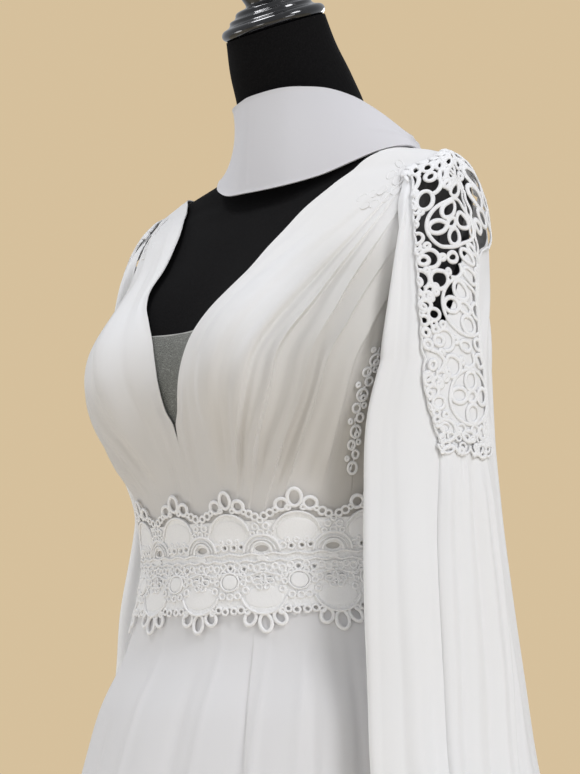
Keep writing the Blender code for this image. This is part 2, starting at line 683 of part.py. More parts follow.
def build_side_lace(side, name, lace):
    z = np.linspace(SIDE_LACE_LOW, SIDE_LACE_HIGH, 7)
    seam = monotone(z, SIDE_SEAM[:, 0], SIDE_SEAM[:, 1])
    half = np.degrees(SIDE_LACE_WIDTH / 2 / SIDE_LACE_RADIUS)
    angle = seam[:, None] + np.array([-half, 0.0, half])[None, :]
    rows = np.repeat(z[:, None], 3, axis=1)
    lift = stand_off(rows) + CHIFFON + LAP
    inner = mirrored(on_form(angle, rows, lift), side)
    outer = mirrored(on_form(angle, rows, lift + LACE), side)
    wall(name, inner, outer, lace)


# Skirt and waist lace

def skirt_relief(angle, z):
    """How far the folds stand out from the skirt's rings."""
    down = np.clip((SKIRT_FOLDS_START - z) / (SKIRT_FOLDS_START - HEM_Z), 0, 1)
    total = np.zeros(np.broadcast(angle, z).shape)
    for waist, hem, height, half in SKIRT_FOLDS:
        middle = waist + (hem - waist) * down
        off = (angle - middle + 180) % 360 - 180
        total = total + height * down**0.8 * np.exp(-(off / half) ** 2)
    return total


def build_skirt(cloth):
    heights = np.array([WAIST_Z - FIT, 1.033, 1.015, 0.997, 0.978, 0.930, 0.820, 0.640, 0.360, HEM_Z])
    for name, start in (("skirt_front", -180.0), ("skirt_back", 0.0)):
        gap = 0.10
        angles = start + np.linspace(gap, 180 - gap, SKIRT_COLUMNS)
        angle, z = np.meshgrid(angles, heights)
        relief = skirt_relief(angle, z)
        n = dress_normal(angle, z)
        n[..., 2] = 0
        n = n / np.linalg.norm(n, axis=-1, keepdims=True)
        inner = dress(angle, z) + n * (relief - CHIFFON)[..., None]
        outer = dress(angle, z) + n * relief[..., None]
        wall(name, inner, outer, cloth)


def over_waist(angle, z, lift):
    """A point over the outer faces of the bodice and the skirt, where they meet at the waist."""
    over_bodice = on_form(angle, z, STAND_OFF + CHIFFON + lift + np.zeros(z.shape))
    over_skirt = dress(angle, z) + dress_normal(angle, z) * lift
    share = smooth((z - WAIST_Z + 0.010) / 0.020)[..., None]
    return over_skirt * (1 - share) + over_bodice * share


def waist_run():
    """Angles round the waist and the length run to each, from the wearer's right side by the front."""
    angle = np.linspace(-180, 180, 721)
    points = dress(angle, np.full(721, WAIST_LACE_Z))
    return angle, np.r_[0, np.cumsum(np.linalg.norm(np.diff(points, axis=0), axis=1))]


def build_waist_lace(lace):
    angle, run = waist_run()
    repeat = run[-1] / WAIST_REPEATS

    def place(spots, height):
        at = np.interp((spots[:, 0] + WAIST_LACE_TURN * repeat) % run[-1], run, angle)
        front = np.clip(-np.sin(np.radians(at)), 0, 1)
        z = WAIST_LACE_Z - WAIST_LACE_DIP * front + spots[:, 1]
        return over_waist(at, z, LACE_LAP + height)

    half = WAIST_REPEATS // 2
    for name, first in (("waist_lace_front", 0), ("waist_lace_back", half)):
        low, high = [], []
        gaps = []
        begin, end = first * repeat + SEAM_GAP / 2, (first + half) * repeat - SEAM_GAP / 2
        for k in range(first, first + half):
            middle = (k + 0.5) * repeat
            low += [(middle + u * repeat, v) for u, v in WAIST_LOW_EDGE]
            high += [(middle + u * repeat, v) for u, v in WAIST_TOP_EDGE]
            for u, v, half_wide, half_high, turn in WAIST_GAPS:
                if u == 0.50 and k == first + half - 1:
                    continue
                gaps.append(gap_outline((middle + u * repeat, v), (half_wide, half_high), turn))
        low[0] = (begin, low[0][1])
        high[0] = (begin, high[0][1])
        low.append((end, low[0][1]))
        high.append((end, high[0][1]))
        pierced(name, low + high[::-1], gaps, 0.016, place, lace)


# Sleeves

def sleeve_section(side, share, z):
    """A point of the hanging sleeve: share 0 is outside, 0.25 in front, 0.5 next to the body."""
    turn = 2 * math.pi * share
    centre_y = column(SLEEVE, 2 if side > 0 else 3, z)
    thick, wide = column(SLEEVE, 4, z), column(SLEEVE, 5, z)
    lean = np.radians(column(SLEEVE, 6, z))
    out, along = thick * np.cos(turn), -wide * np.sin(turn)
    x = column(SLEEVE, 1, z) + out * np.cos(lean) + along * np.sin(lean)
    y = centre_y - out * np.sin(lean) + along * np.cos(lean)
    return np.stack([x, y, z], -1)


def sleeve(side, share, way):
    """A point of the sleeve on the left: way 0 to 1 over the cap, then 1 plus metres further down."""
    share, way = np.broadcast_arrays(np.asarray(share, float), np.asarray(way, float))
    angle, z = armhole(share)
    start_normal = torso_normal(angle, z)
    start = torso(angle, z) + start_normal * (stand_off(z) + CHIFFON + SLEEVE_LAP)[..., None]
    cap_z = np.full(share.shape, CAP_Z)
    end = sleeve_section(side, share, cap_z)
    high = 0.5 + 0.5 * np.cos(2 * math.pi * share)
    reach = CAP_REACH_UNDERARM + (CAP_REACH_TOP - CAP_REACH_UNDERARM) * high
    drop = CAP_DROP_UNDERARM + (CAP_DROP_TOP - CAP_DROP_UNDERARM) * high
    lead = start_normal * 0.55 + np.array([0.75, 0.0, 0.05])
    lead = lead / np.linalg.norm(lead, axis=-1, keepdims=True) * reach[..., None]
    fall = np.zeros(share.shape + (3,))
    fall[..., 2] = -drop
    t = np.clip(way, 0, 1)[..., None]
    cap = ((2 * t**3 - 3 * t**2 + 1) * start + (t**3 - 2 * t**2 + t) * lead
           + (3 * t**2 - 2 * t**3) * end + (t**3 - t**2) * fall)
    hanging = sleeve_section(side, share, np.clip(CAP_Z - (way - 1), CUFF_Z - 0.01, CAP_Z))
    return np.where(way[..., None] < 1, cap, hanging)


def sleeve_normal(side, share, way):
    along_share = sleeve(side, share + 0.003, way) - sleeve(side, share - 0.003, way)
    along_way = sleeve(side, share, way + 0.004) - sleeve(side, share, np.maximum(way - 0.004, 0))
    n = np.cross(along_share, along_way)
    return n / np.linalg.norm(n, axis=-1, keepdims=True)


def sleeve_wall(name, side, share, way, lift, cloth):
    n = sleeve_normal(side, share, way)
    base = sleeve(side, share, way)
    inner = mirrored(base + n * np.asarray(lift)[..., None], side)
    outer = mirrored(base + n * (np.asarray(lift) + CHIFFON)[..., None], side)
    wall(name, inner, outer, cloth)


def sleeve_folds(share, way, count, height):
    """Soft lengthwise folds that grow towards the cuff."""
    grow = smooth((way - 1.0) / 0.45)
    return height * grow * (0.5 + 0.5 * np.cos(2 * math.pi * share * count))


def build_sleeve(side, tag, cloth, lace):
    hang = CAP_Z - CUFF_Z
    tucked = LACE_TUCK / 2
    ways = np.r_[0, 0.14, 0.32, 0.52, 0.75, 1.0, 1.030, CAP_Z - LOWER_TOP_Z + 1, 1.12, 1.20, 1.30, 1 + hang]
    for part, turns in (("front", 1), ("back", -1)):
        edge = LACE_EDGES[:, 1 if part == "front" else 2]
        first = monotone(ways, LACE_EDGES[:, 0], edge) - turns * tucked
        last = turns * (0.5 - UNDERARM_GAP)
        across = np.linspace(0, 1, SLEEVE_COLUMNS)
        share = first[:, None] + (last - first[:, None]) * across[None, :]
        way = np.repeat(ways[:, None], SLEEVE_COLUMNS, axis=1)
        lift = sleeve_folds(share, way, 13, 0.004)
        sleeve_wall(f"sleeve_{part}_{tag}", side, share, way, lift, cloth)

    lower = ways[ways >= 1 + CAP_Z - LOWER_TOP_Z - 1e-9]
    front = monotone(lower, LACE_EDGES[:, 0], LACE_EDGES[:, 1]) - tucked - 0.002
    back = monotone(lower, LACE_EDGES[:, 0], LACE_EDGES[:, 2]) + tucked + 0.002
    across = np.linspace(0, 1, 13)
    share = back[:, None] + (front - back)[:, None] * across[None, :]
    way = np.repeat(lower[:, None], 13, axis=1)
    ripple = 0.5 - 0.5 * np.cos(2 * math.pi * across * 6)
    start = smooth((way - (1 + CAP_Z - LOWER_TOP_Z) - 0.012) / 0.04)
    lift = 0.0034 * ripple[None, :] * start
    sleeve_wall(f"sleeve_lower_{tag}", side, share, way, lift, cloth)

    ways_dense = np.linspace(0, 1.2, 241)
    middle = sleeve(side, np.full(241, 0.0), ways_dense)
    run = np.r_[0, np.cumsum(np.linalg.norm(np.diff(middle, axis=0), axis=1))]

    def edge_at(down, index):
        way = np.interp(down, run, ways_dense)
        edge = monotone(way, LACE_EDGES[:, 0], LACE_EDGES[:, index])
        return (edge - monotone(way, LACE_EDGES[:, 0], LACE_EDGES[:, 3])) * LACE_SPREAD

    def place(spots, height):
        way = np.interp(spots[:, 1], run, ways_dense)
        share = monotone(way, LACE_EDGES[:, 0], LACE_EDGES[:, 3]) + spots[:, 0] / LACE_SPREAD
        n = sleeve_normal(side, share, way)
        return mirrored(sleeve(side, share, way) + n * (CHIFFON + LACE_LAP + height), side)

    scallops = 4
    front_end, back_end = float(edge_at(LACE_END, 1)), float(edge_at(LACE_END, 2))
    bottom = []
    for k in range(scallops):
        for across, down in ((0.0, 0.0), (0.28, 0.008), (0.72, 0.008)):
            bottom.append((front_end + (back_end - front_end) * (k + across) / scallops, LACE_END + down))
    rows = LACE_START + (LACE_END - LACE_START) * np.arange(16) / 16
    right = list(zip(edge_at(rows, 1).tolist(), rows.tolist()))
    left = list(zip(edge_at(rows[::-1], 2).tolist(), rows[::-1].tolist()))
    front_top, back_top = right[0][0], left[-1][0]
    top = [(back_top + (front_top - back_top) * k / 6, LACE_START + 0.002 * (k % 2)) for k in range(1, 6)]
    outline = right + bottom + [(back_end, LACE_END)] + left + top
    gaps = [gap_outline((x, FIRST_FLOWER + y), CORNER_HALF, 0, sides=6) for x, y in TOP_GAPS]
    for k in range(LACE_FLOWERS):
        centre = FIRST_FLOWER + LACE_REPEAT * k
        for q in range(4):
            a = math.radians(90 * q)
            spot = (PETAL_REACH * math.sin(a), centre + PETAL_REACH * math.cos(a))
            gaps.append(gap_outline(spot, PETAL_HALF, -90 * q))
            b = math.radians(90 * q + 45)
            spot = (WEDGE_REACH * math.sin(b), centre + WEDGE_REACH * math.cos(b))
            if spot[0] - WEDGE_HALF[0] > edge_at(spot[1], 2) + LACE:
                gaps.append(gap_outline(spot, WEDGE_HALF, -90 * q - 45, sides=4))
        if k < LACE_FLOWERS - 1:
            gaps += [gap_outline((x, centre + y), CORNER_HALF, 0, sides=6) for x, y in CORNER_GAPS]
    pierced(f"sleeve_lace_{tag}", outline, gaps, 0.014, place, lace)


# Throat band

def build_collar(cloth):
    count = len(COLLAR)
    around = np.arange(count * 2) / 2
    knots = np.arange(-3, count + 4, dtype=float)
    looped = COLLAR[np.arange(-3, count + 4) % count]
    closed = np.array([monotone(around, knots, looped[:, k]) for k in range(7)]).T
    levels = np.array([0.0, 0.30, 0.65, 1.0])
    rows = []
    for t in levels:
        point = closed[:, :3] * (1 - t) + closed[:, 3:6] * t
        out = point[:, :2] - np.array([0.0, 0.035])
        out = out / np.linalg.norm(out, axis=1, keepdims=True)
        bow = closed[:, 6] * 4 * t * (1 - t)
        point[:, :2] += out * bow[:, None]
        rows.append(point)
    inner = np.array(rows)
    along = np.roll(inner, -1, axis=1) - np.roll(inner, 1, axis=1)
    up = np.gradient(inner, axis=0)
    n = np.cross(along, up)
    n = n / np.linalg.norm(n, axis=-1, keepdims=True)
    wall("collar_band", inner, inner + n * BAND, cloth, closed=True)


def build():
    for leftover in list(bpy.data.objects):
        bpy.data.objects.remove(leftover)
    jersey = colour("black_jersey", (0.012, 0.012, 0.013), 0.85, sheen=0.2)
    lacquer = colour("black_lacquer", (0.010, 0.010, 0.011), 0.18)
    chiffon = colour("white_chiffon", (0.86, 0.86, 0.85), 0.70, sheen=0.3)
    guipure = colour("white_guipure", (0.88, 0.88, 0.87), 0.75)
    tulle = colour("grey_tulle", (0.22, 0.225, 0.21), 0.80)
    build_form(jersey, lacquer)
    for side, tag in ((1, "left"), (-1, "right")):
        build_front(side, f"bodice_front_{tag}", chiffon)
        build_back(side, f"bodice_back_{tag}", chiffon)
        build_side_lace(side, f"side_lace_{tag}", guipure)
        build_sleeve(side, tag, chiffon, guipure)
    build_insert(tulle)
    build_skirt(chiffon)
    build_waist_lace(guipure)
    build_collar(chiffon)


build()
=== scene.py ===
"""The wedding dress on its form, dressed for the render: fine cloth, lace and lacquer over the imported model.

The tables and curves are the part's own, worked out again on denser grids, in metres.
"""

import math

import bpy
import numpy as np
from mathutils import Matrix, Vector
from mathutils.geometry import delaunay_2d_cdt
from mathutils.kdtree import KDTree


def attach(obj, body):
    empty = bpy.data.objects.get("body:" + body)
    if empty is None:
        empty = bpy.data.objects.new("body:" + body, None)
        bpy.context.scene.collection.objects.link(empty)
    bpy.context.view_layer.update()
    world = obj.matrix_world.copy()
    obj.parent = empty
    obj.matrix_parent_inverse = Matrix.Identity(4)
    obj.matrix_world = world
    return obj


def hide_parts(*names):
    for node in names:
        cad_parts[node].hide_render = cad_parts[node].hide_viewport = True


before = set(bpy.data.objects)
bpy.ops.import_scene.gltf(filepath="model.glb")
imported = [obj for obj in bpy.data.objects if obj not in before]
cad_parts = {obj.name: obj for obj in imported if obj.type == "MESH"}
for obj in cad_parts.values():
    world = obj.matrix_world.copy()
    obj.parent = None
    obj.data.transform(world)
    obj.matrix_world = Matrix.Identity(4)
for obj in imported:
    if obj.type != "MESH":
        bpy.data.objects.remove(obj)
bpy.context.scene.view_settings.view_transform = "Standard"
bpy.context.scene.view_settings.look = "None"
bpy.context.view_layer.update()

# Sizes of the cloth, as in the part
MM = 0.001
CHIFFON = 0.0016
LACE_LAP = 0.0019
INSERT_LAP = 0.0018
SLEEVE_LAP = 0.0020
LAP = 0.0008
BAND = 0.0024
STAND_OFF = 0.0048
SHOULDER_REST = 0.0024
WAIST_Z = 1.0510
HEM_Z = 0.020
FIT = 0.0003

# Thickness of the shown cloth, under its outer face: chiffon, the insert's tulle and the throat band
SHOWN_CLOTH = 0.0009
SHOWN_TULLE = 0.0005
SHOWN_BAND = 0.0016

# Steps of the differences that give a surface's normal, in degrees and in metres
ANGLE_STEP = 0.4
HEIGHT_STEP = 0.0008

# Rings of the form: height, half width, depth to the front and back, middle, roundness, tilt in degrees
TORSO = np.array([
    (0.800, 0.166, 0.108, 0.120, 0.000, 2.2, 0),
    (0.900, 0.162, 0.106, 0.115, 0.000, 2.2, 0),
    (0.980, 0.140, 0.098, 0.098, 0.000, 2.2, 0),
    (1.050, 0.124, 0.094, 0.086, 0.000, 2.1, 0),
    (1.110, 0.130, 0.100, 0.090, 0.002, 2.1, 0),
    (1.170, 0.142, 0.104, 0.098, 0.006, 2.2, 0),
    (1.230, 0.155, 0.104, 0.104, 0.012, 2.3, 0),
    (1.290, 0.168, 0.097, 0.104, 0.020, 2.4, 0),
    (1.345, 0.182, 0.077, 0.098, 0.026, 2.4, 0),
    (1.385, 0.190, 0.058, 0.086, 0.032, 2.2, 0),
    (1.402, 0.186, 0.049, 0.076, 0.034, 1.9, 0),
    (1.415, 0.164, 0.047, 0.070, 0.036, 1.8, 0),
    (1.427, 0.118, 0.046, 0.070, 0.038, 1.9, 2),
    (1.435, 0.078, 0.044, 0.076, 0.038, 2.0, 4),
    (1.447, 0.061, 0.044, 0.086, 0.037, 2.0, 8),
    (1.480, 0.056, 0.048, 0.090, 0.031, 2.0, 16),
    (1.510, 0.053, 0.049, 0.080, 0.020, 2.0, 21),
    (1.540, 0.051, 0.049, 0.065, 0.008, 2.0, 24),
    (1.568, 0.050, 0.049, 0.051, 0.002, 2.0, 25),
])

BUST_X = 0.086
BUST_Z = 1.214
BUST_SPREAD = 0.056
BUST_UP = 0.062
BUST_DOWN = 0.052
BUST_OUT = 0.066
BUST_BRIDGE = 0.50

# Rings of the skirt and the waist, in the same columns
DRESS = np.array([
    (0.020, 0.425, 0.385, 0.430, 0.004, 2.1, 0),
    (0.400, 0.320, 0.288, 0.305, 0.002, 2.1, 0),
    (0.700, 0.222, 0.198, 0.200, 0.000, 2.1, 0),
    (0.860, 0.179, 0.153, 0.150, 0.000, 2.1, 0),
    (0.915, 0.1705, 0.136, 0.134, 0.000, 2.1, 0),
    (0.980, 0.1495, 0.108, 0.107, 0.000, 2.1, 0),
    (1.015, 0.138, 0.1035, 0.098, 0.000, 2.1, 0),
    (1.050, 0.1305, 0.1005, 0.0925, 0.000, 2.1, 0),
    (1.090, 0.1335, 0.1045, 0.0945, 0.0013, 2.1, 0),
    (1.130, 0.1405, 0.108, 0.099, 0.0033, 2.1, 0),
])

# Skirt folds: angle at the waist and at the hem in degrees, height at the hem, half width
SKIRT_FOLDS = (
    (-170, -168, 0.020, 8), (-148, -150, 0.014, 7), (-127, -131, 0.024, 9), (-108, -112, 0.016, 7),
    (-93, -92, 0.026, 8), (-72, -68, 0.018, 7), (-52, -46, 0.022, 9), (-34, -27, 0.015, 7),
    (-14, -8, 0.024, 8), (8, 11, 0.018, 8), (29, 31, 0.022, 8), (52, 54, 0.026, 9),
    (74, 75, 0.018, 7), (95, 97, 0.028, 9), (117, 116, 0.017, 7), (138, 137, 0.024, 9),
    (160, 160, 0.018, 8),
)
SKIRT_FOLDS_START = 0.972

# Fine ripples between them: angle at the waist and at the hem, where it starts, depth, half width
SKIRT_RIPPLES = (
    (-176, -177, 0.95, 0.0014, 2.2), (-159, -160, 0.8, -0.0018, 2.6), (-138, -141, 0.93, 0.0016, 2.0),
    (-118, -121, 0.9, -0.0015, 2.4), (-101, -102, 0.96, 0.0013, 1.8), (-84, -81, 0.94, -0.0017, 2.0),
    (-77, -73, 0.97, 0.0012, 1.4), (-63, -58, 0.95, -0.0019, 2.2), (-58, -52, 0.97, 0.0013, 1.3),
    (-46, -39, 0.96, 0.0014, 1.5), (-41, -34, 0.93, -0.002, 2.0), (-26, -19, 0.96, -0.0015, 2.0),
    (-20, -14, 0.9, 0.0012, 1.6), (-4, 0, 0.92, -0.0018, 2.2), (18, 20, 0.95, -0.0016, 2.2),
    (38, 40, 0.88, 0.0015, 2.0), (43, 45, 0.93, -0.0016, 1.8), (63, 65, 0.95, -0.0017, 2.2),
    (84, 86, 0.91, -0.0018, 2.0), (91, 92, 0.96, 0.0012, 1.6), (106, 107, 0.94, -0.0018, 2.4),
    (127, 127, 0.92, -0.0016, 2.0), (133, 132, 0.86, 0.0013, 1.8), (149, 149, 0.95, -0.0017, 2.2),
    (168, 168, 0.9, -0.0014, 2.0),
)

# Edge of the V: height, distance from the middle
V_EDGE = np.array([
    (1.051, 0.0003), (1.150, 0.0003), (1.167, 0.0010), (1.180, 0.0075), (1.200, 0.0130), (1.220, 0.0185),
    (1.240, 0.0260), (1.260, 0.0385), (1.280, 0.0535), (1.300, 0.0635), (1.320, 0.0665), (1.340, 0.0730),
    (1.360, 0.0805), (1.380, 0.0930), (1.400, 0.1075), (1.410, 0.1140), (1.417, 0.1240), (1.4215, 0.1340),
    (1.4232, 0.1400),
])

# Armhole: share of the way round from the shoulder, angle, height
ARMHOLE = np.array([
    (0.00, 0, 1.4090), (0.08, -19, 1.3985), (0.16, -32, 1.3850), (0.24, -30, 1.3600), (0.32, -24, 1.3300),
    (0.40, -17, 1.2920), (0.46, -13, 1.2620), (0.52, -6, 1.2460), (0.58, 4, 1.2440), (0.66, 16, 1.2620),
    (0.74, 26, 1.3000), (0.82, 31, 1.3400), (0.90, 29, 1.3750), (0.96, 15, 1.3990), (1.00, 0, 1.4090),
])

# Fold lines of the fronts: angles at the four levels and at a height above, then where the line ends
FRONT_LINES = (
    ("edge", -82, -82, -80, -76, -66, 1.305, "shoulder", 1.4170),
    ("fold_1", -78, -72, -66, -61, -55, 1.295, "armhole", 0.00),
    ("fold_2", -73, -66, -58.5, -52, -46, 1.285, "armhole", 0.12),
    ("fold_3", -68, -60, -51.5, -45, -41, 1.270, "armhole", 0.20),
    ("fold_4", -62, -53, -42, -36, -34, 1.265, "armhole", 0.27),
    ("fold_5", -54, -46, -36, -30.5, -28, 1.252, "armhole", 0.34),
    ("fold_6", -37, -31, -24.5, -21, -19, 1.242, "armhole", 0.42),
    ("side", -20, -19, -17, -14, -12, 1.232, "armhole", 0.48),
)

# Each front fold: depth, share of the way up where it has grown, share where it starts to fade, steepness
FRONT_FOLDS = (
    (0.0040, 0.26, 0.46, 0.70), (0.0056, 0.20, 0.54, 0.80), (0.0064, 0.16, 0.60, 0.84),
    (0.0090, 0.10, 0.72, 0.90), (0.0070, 0.12, 0.64, 0.88), (0.0054, 0.14, 0.60, 0.82),
)
# How much deeper each fold of the right front is than that of the left
RIGHT_FOLDS = (1.3, 1.0, 1.15, 0.8, 0.9, 1.0)

# Fine creases across the fronts: place between the fold lines, low and high share of the way, depth, width
FRONT_CREASES = (
    (0.42, 0.14, 0.52, 0.0016, 0.1), (0.74, 0.1, 0.46, -0.0012, 0.12), (1.22, 0.24, 0.86, -0.0014, 0.14),
    (1.55, 0.14, 0.62, 0.0014, 0.09), (2.3, 0.16, 0.7, -0.0015, 0.13), (2.62, 0.3, 0.84, 0.0014, 0.09),
    (3.3, 0.12, 0.62, 0.0013, 0.08), (3.58, 0.24, 0.78, -0.0015, 0.11), (4.36, 0.14, 0.7, -0.0016, 0.12),
    (4.68, 0.22, 0.66, 0.0014, 0.08), (5.36, 0.1, 0.64, -0.0014, 0.12), (5.72, 0.2, 0.6, 0.0013, 0.09),
    (6.35, 0.1, 0.7, -0.0014, 0.12), (6.68, 0.14, 0.56, 0.0013, 0.1), (7.3, 0.12, 0.8, -0.0014, 0.14),
    (7.62, 0.16, 0.66, 0.0012, 0.12), (0.22, 0.5, 0.98, -0.001, 0.1), (0.66, 0.56, 0.98, 0.0009, 0.1),
)

BACK_LINES = (
    ("centre", 90, 90, 90, 90, 90, 1.290, "neck", (90, 1.3720)),
    ("neck_1", 74, 74, 75, 76, 76, 1.290, "neck", (74, 1.3735)),
    ("neck_2", 62, 62, 63, 63, 62, 1.295, "neck", (54, 1.3830)),
    ("neck_3", 50, 50, 50, 50, 48, 1.300, "neck", (32, 1.4030)),
    ("strap", 40, 40, 40, 40, 39, 1.305, "shoulder", 1.4232),
    ("strap_out", 32, 32, 32, 33, 34, 1.305, "armhole", 1.00),
    ("arm_1", 20, 20, 21, 24, 28, 1.290, "armhole", 0.90),
    ("arm_2", 8, 8, 9, 12, 18, 1.260, "armhole", 0.78),
    ("arm_3", -6, -5, -4, -1, 2, 1.235, "armhole", 0.62),
    ("side", -20, -19, -17, -14, -12, 1.232, "armhole", 0.48),
)

# Soft creases of the backs, in the same columns as those of the fronts
BACK_CREASES = (
    (0.9, 0.0, 0.42, -0.0013, 0.16), (1.6, 0.0, 0.55, 0.0012, 0.2), (2.5, 0.0, 0.36, -0.0014, 0.18),
    (3.3, 0.04, 0.62, 0.0012, 0.22), (4.4, 0.0, 0.48, -0.0014, 0.16), (5.2, 0.06, 0.7, 0.0013, 0.2),
    (6.3, 0.0, 0.44, -0.0015, 0.2), (7.1, 0.05, 0.6, 0.0013, 0.2), (8.1, 0.0, 0.66, -0.0014, 0.18),
)

RIDGE_ANGLE = 1.0
LEVELS = (1.051, 1.110, 1.160, 1.210)
STATIONS = np.array([0.0, 0.16, 0.32, 0.48, 0.72, 1.0])

# Sleeve: height, middle across, middle along on the left and on the right, half sizes, lean in degrees
SLEEVE = np.array([
    (0.790, 0.2415, -0.021, 0.062, 0.0275, 0.0830, 20),
    (0.876, 0.2200, -0.018, 0.060, 0.0260, 0.0780, 20),
    (0.950, 0.2080, -0.0125, 0.055, 0.0245, 0.0735, 20),
    (1.010, 0.2000, -0.010, 0.049, 0.0235, 0.0700, 20),
    (1.094, 0.1910, -0.006, 0.053, 0.0220, 0.0645, 20),
    (1.160, 0.1870, -0.003, 0.022, 0.0215, 0.0610, 19),
    (1.235, 0.1900, 0.006, 0.001, 0.0210, 0.0520, 14),
])
CUFF_Z = 0.790
CAP_Z = 1.215
CAP_REACH_TOP = 0.085
CAP_REACH_UNDERARM = 0.013
CAP_DROP_TOP = 0.130
CAP_DROP_UNDERARM = 0.022
UNDERARM_GAP = 0.0022
# Edges of the lace strip: way down, shares at its front and back edge, share of the flowers' line
LACE_EDGES = np.array([
    (0.000, 0.150, -0.100, 0.060), (0.330, 0.150, -0.100, 0.054), (0.460, 0.141, -0.080, 0.043),
    (0.570, 0.130, -0.048, 0.024), (0.680, 0.118, -0.054, -0.003), (0.800, 0.106, -0.076, -0.027),
    (1.000, 0.088, -0.112, -0.056), (1.030, 0.066, -0.128, -0.064), (1.055, 0.037, -0.142, -0.066),
    (1.075, 0.022, -0.146, -0.067), (1.154, 0.037, -0.150, -0.067), (1.228, 0.044, -0.139, -0.067),
    (1.341, 0.054, -0.102, -0.067), (1.425, 0.058, -0.085, -0.067),
])
LACE_SPREAD = 0.360
FIRST_FLOWER = 0.080
LACE_REPEAT = 0.079
LACE_START = 0.004
LACE_END = 0.280
LACE_TUCK = 0.010
UNDERLAP = 0.012
LOWER_TOP_Z = 1.150

WAIST_REPEATS = 12
WAIST_LACE_Z = 1.0530
WAIST_LACE_DIP = 0.006
WAIST_LACE_TURN = 0.24

# Throat band: lower edge across, along and up, upper edge the same, how far it bows out between them
COLLAR = np.array([
    (0.000, -0.033, 1.3960, 0.000, -0.0290, 1.4915, 0.000),
    (0.036, -0.032, 1.3950, 0.034, -0.0225, 1.4935, 0.001),
    (0.074, -0.018, 1.4010, 0.058, -0.0020, 1.4930, 0.002),
    (0.104, -0.002, 1.4130, 0.076, 0.0190, 1.4870, 0.003),
    (0.124, 0.014, 1.4225, 0.101, 0.0350, 1.4680, 0.003),
    (0.140, 0.034, 1.4270, 0.128, 0.0450, 1.4420, 0.001),
    (0.130, 0.066, 1.4250, 0.114, 0.0680, 1.4480, 0.001),
    (0.092, 0.102, 1.4160, 0.074, 0.1010, 1.4650, 0.000),
    (0.040, 0.121, 1.4120, 0.033, 0.1280, 1.4740, 0.000),
    (0.000, 0.125, 1.4110, 0.000, 0.1350, 1.4760, 0.000),
    (-0.040, 0.121, 1.4120, -0.033, 0.1280, 1.4740, 0.000),
    (-0.078, 0.101, 1.4190, -0.060, 0.1000, 1.4740, -0.003),
    (-0.099, 0.076, 1.4310, -0.069, 0.0720, 1.4800, -0.004),
    (-0.104, 0.046, 1.4335, -0.070, 0.0450, 1.4850, -0.005),
    (-0.086, 0.016, 1.4310, -0.059, 0.0170, 1.4890, -0.012),
    (-0.069, -0.001, 1.4260, -0.049, 0.0005, 1.4910, -0.011),
    (-0.050, -0.022, 1.4080, -0.038, -0.0145, 1.4910, -0.007),
    (-0.026, -0.031, 1.3975, -0.020, -0.0230, 1.4910, -0.004),
])

# Turned profiles of the neck cap and of the base: radius, height
CAP_PROFILE = (
    (0.048, 0.0), (0.0515, 0.003), (0.0522, 0.0065), (0.05, 0.0105), (0.044, 0.012), (0.0415, 0.014),
    (0.041, 0.0175), (0.0345, 0.0185), (0.033, 0.0245), (0.021, 0.026), (0.0215, 0.03), (0.024, 0.036),
    (0.0215, 0.043), (0.0155, 0.047), (0.015, 0.051), (0.0215, 0.057), (0.025, 0.065), (0.0215, 0.074),
    (0.011, 0.08),
)
BASE_PROFILE = (
    (0.167, 0.0), (0.17, 0.003), (0.17, 0.01), (0.164, 0.016), (0.06, 0.021), (0.03, 0.022),
)
POLE_RADIUS = 0.0125
TORSO_FLOOR_Z = 0.800
BASE_THICKNESS = 0.022

# Side seam: height, angle
SIDE_SEAM = np.array([(1.051, -20.0), (1.110, -19.0), (1.160, -17.0), (1.210, -14.0), (1.232, -12.0)])
SIDE_LACE_RADIUS = 0.150
SIDE_LACE_LOW = 1.122
SIDE_LACE_HIGH = 1.232
INSERT_TOP_Z = 1.2480
INSERT_LOW_Z = 1.1600
INSERT_TUCK = 0.008

# The camera, as the photograph's: angle round the front, distance, height, pitch and focal length in pixels
CAMERA_AZIMUTH = 43.0
CAMERA_DISTANCE = 1.55
CAMERA_HEIGHT = 0.97
CAMERA_PITCH = 9.0
FOCAL_PIXELS = 1674.0
FRAME_HEIGHT = 774
AXIS_OFFSET_PIXELS = -17.0


# Curves and rings

def monotone(x, knots, values):
    """A smooth curve through the table's points that never overshoots them."""
    x = np.asarray(x, float)
    step = np.diff(knots)
    rise = np.diff(values) / step
    slope = np.zeros(len(knots))
    slope[0] = rise[0]
    slope[-1] = rise[-1]
    for i in range(1, len(knots) - 1):
        if rise[i - 1] * rise[i] > 0:
            first = 2 * step[i] + step[i - 1]
            second = step[i] + 2 * step[i - 1]
            slope[i] = (first + second) / (first / rise[i - 1] + second / rise[i])
    k = np.clip(np.searchsorted(knots, x) - 1, 0, len(knots) - 2)
    t = np.clip((x - knots[k]) / step[k], 0, 1)
    low = (2 * t**3 - 3 * t**2 + 1) * values[k] + (t**3 - 2 * t**2 + t) * step[k] * slope[k]
    high = (3 * t**2 - 2 * t**3) * values[k + 1] + (t**3 - t**2) * step[k] * slope[k + 1]
    return low + high


def column(table, index, z):
    return monotone(z, table[:, 0], table[:, index])


def smooth(t):
    t = np.clip(t, 0, 1)
    return t * t * (3 - 2 * t)


def unit(v):
    return v / np.maximum(np.linalg.norm(v, axis=-1, keepdims=True), 1e-12)


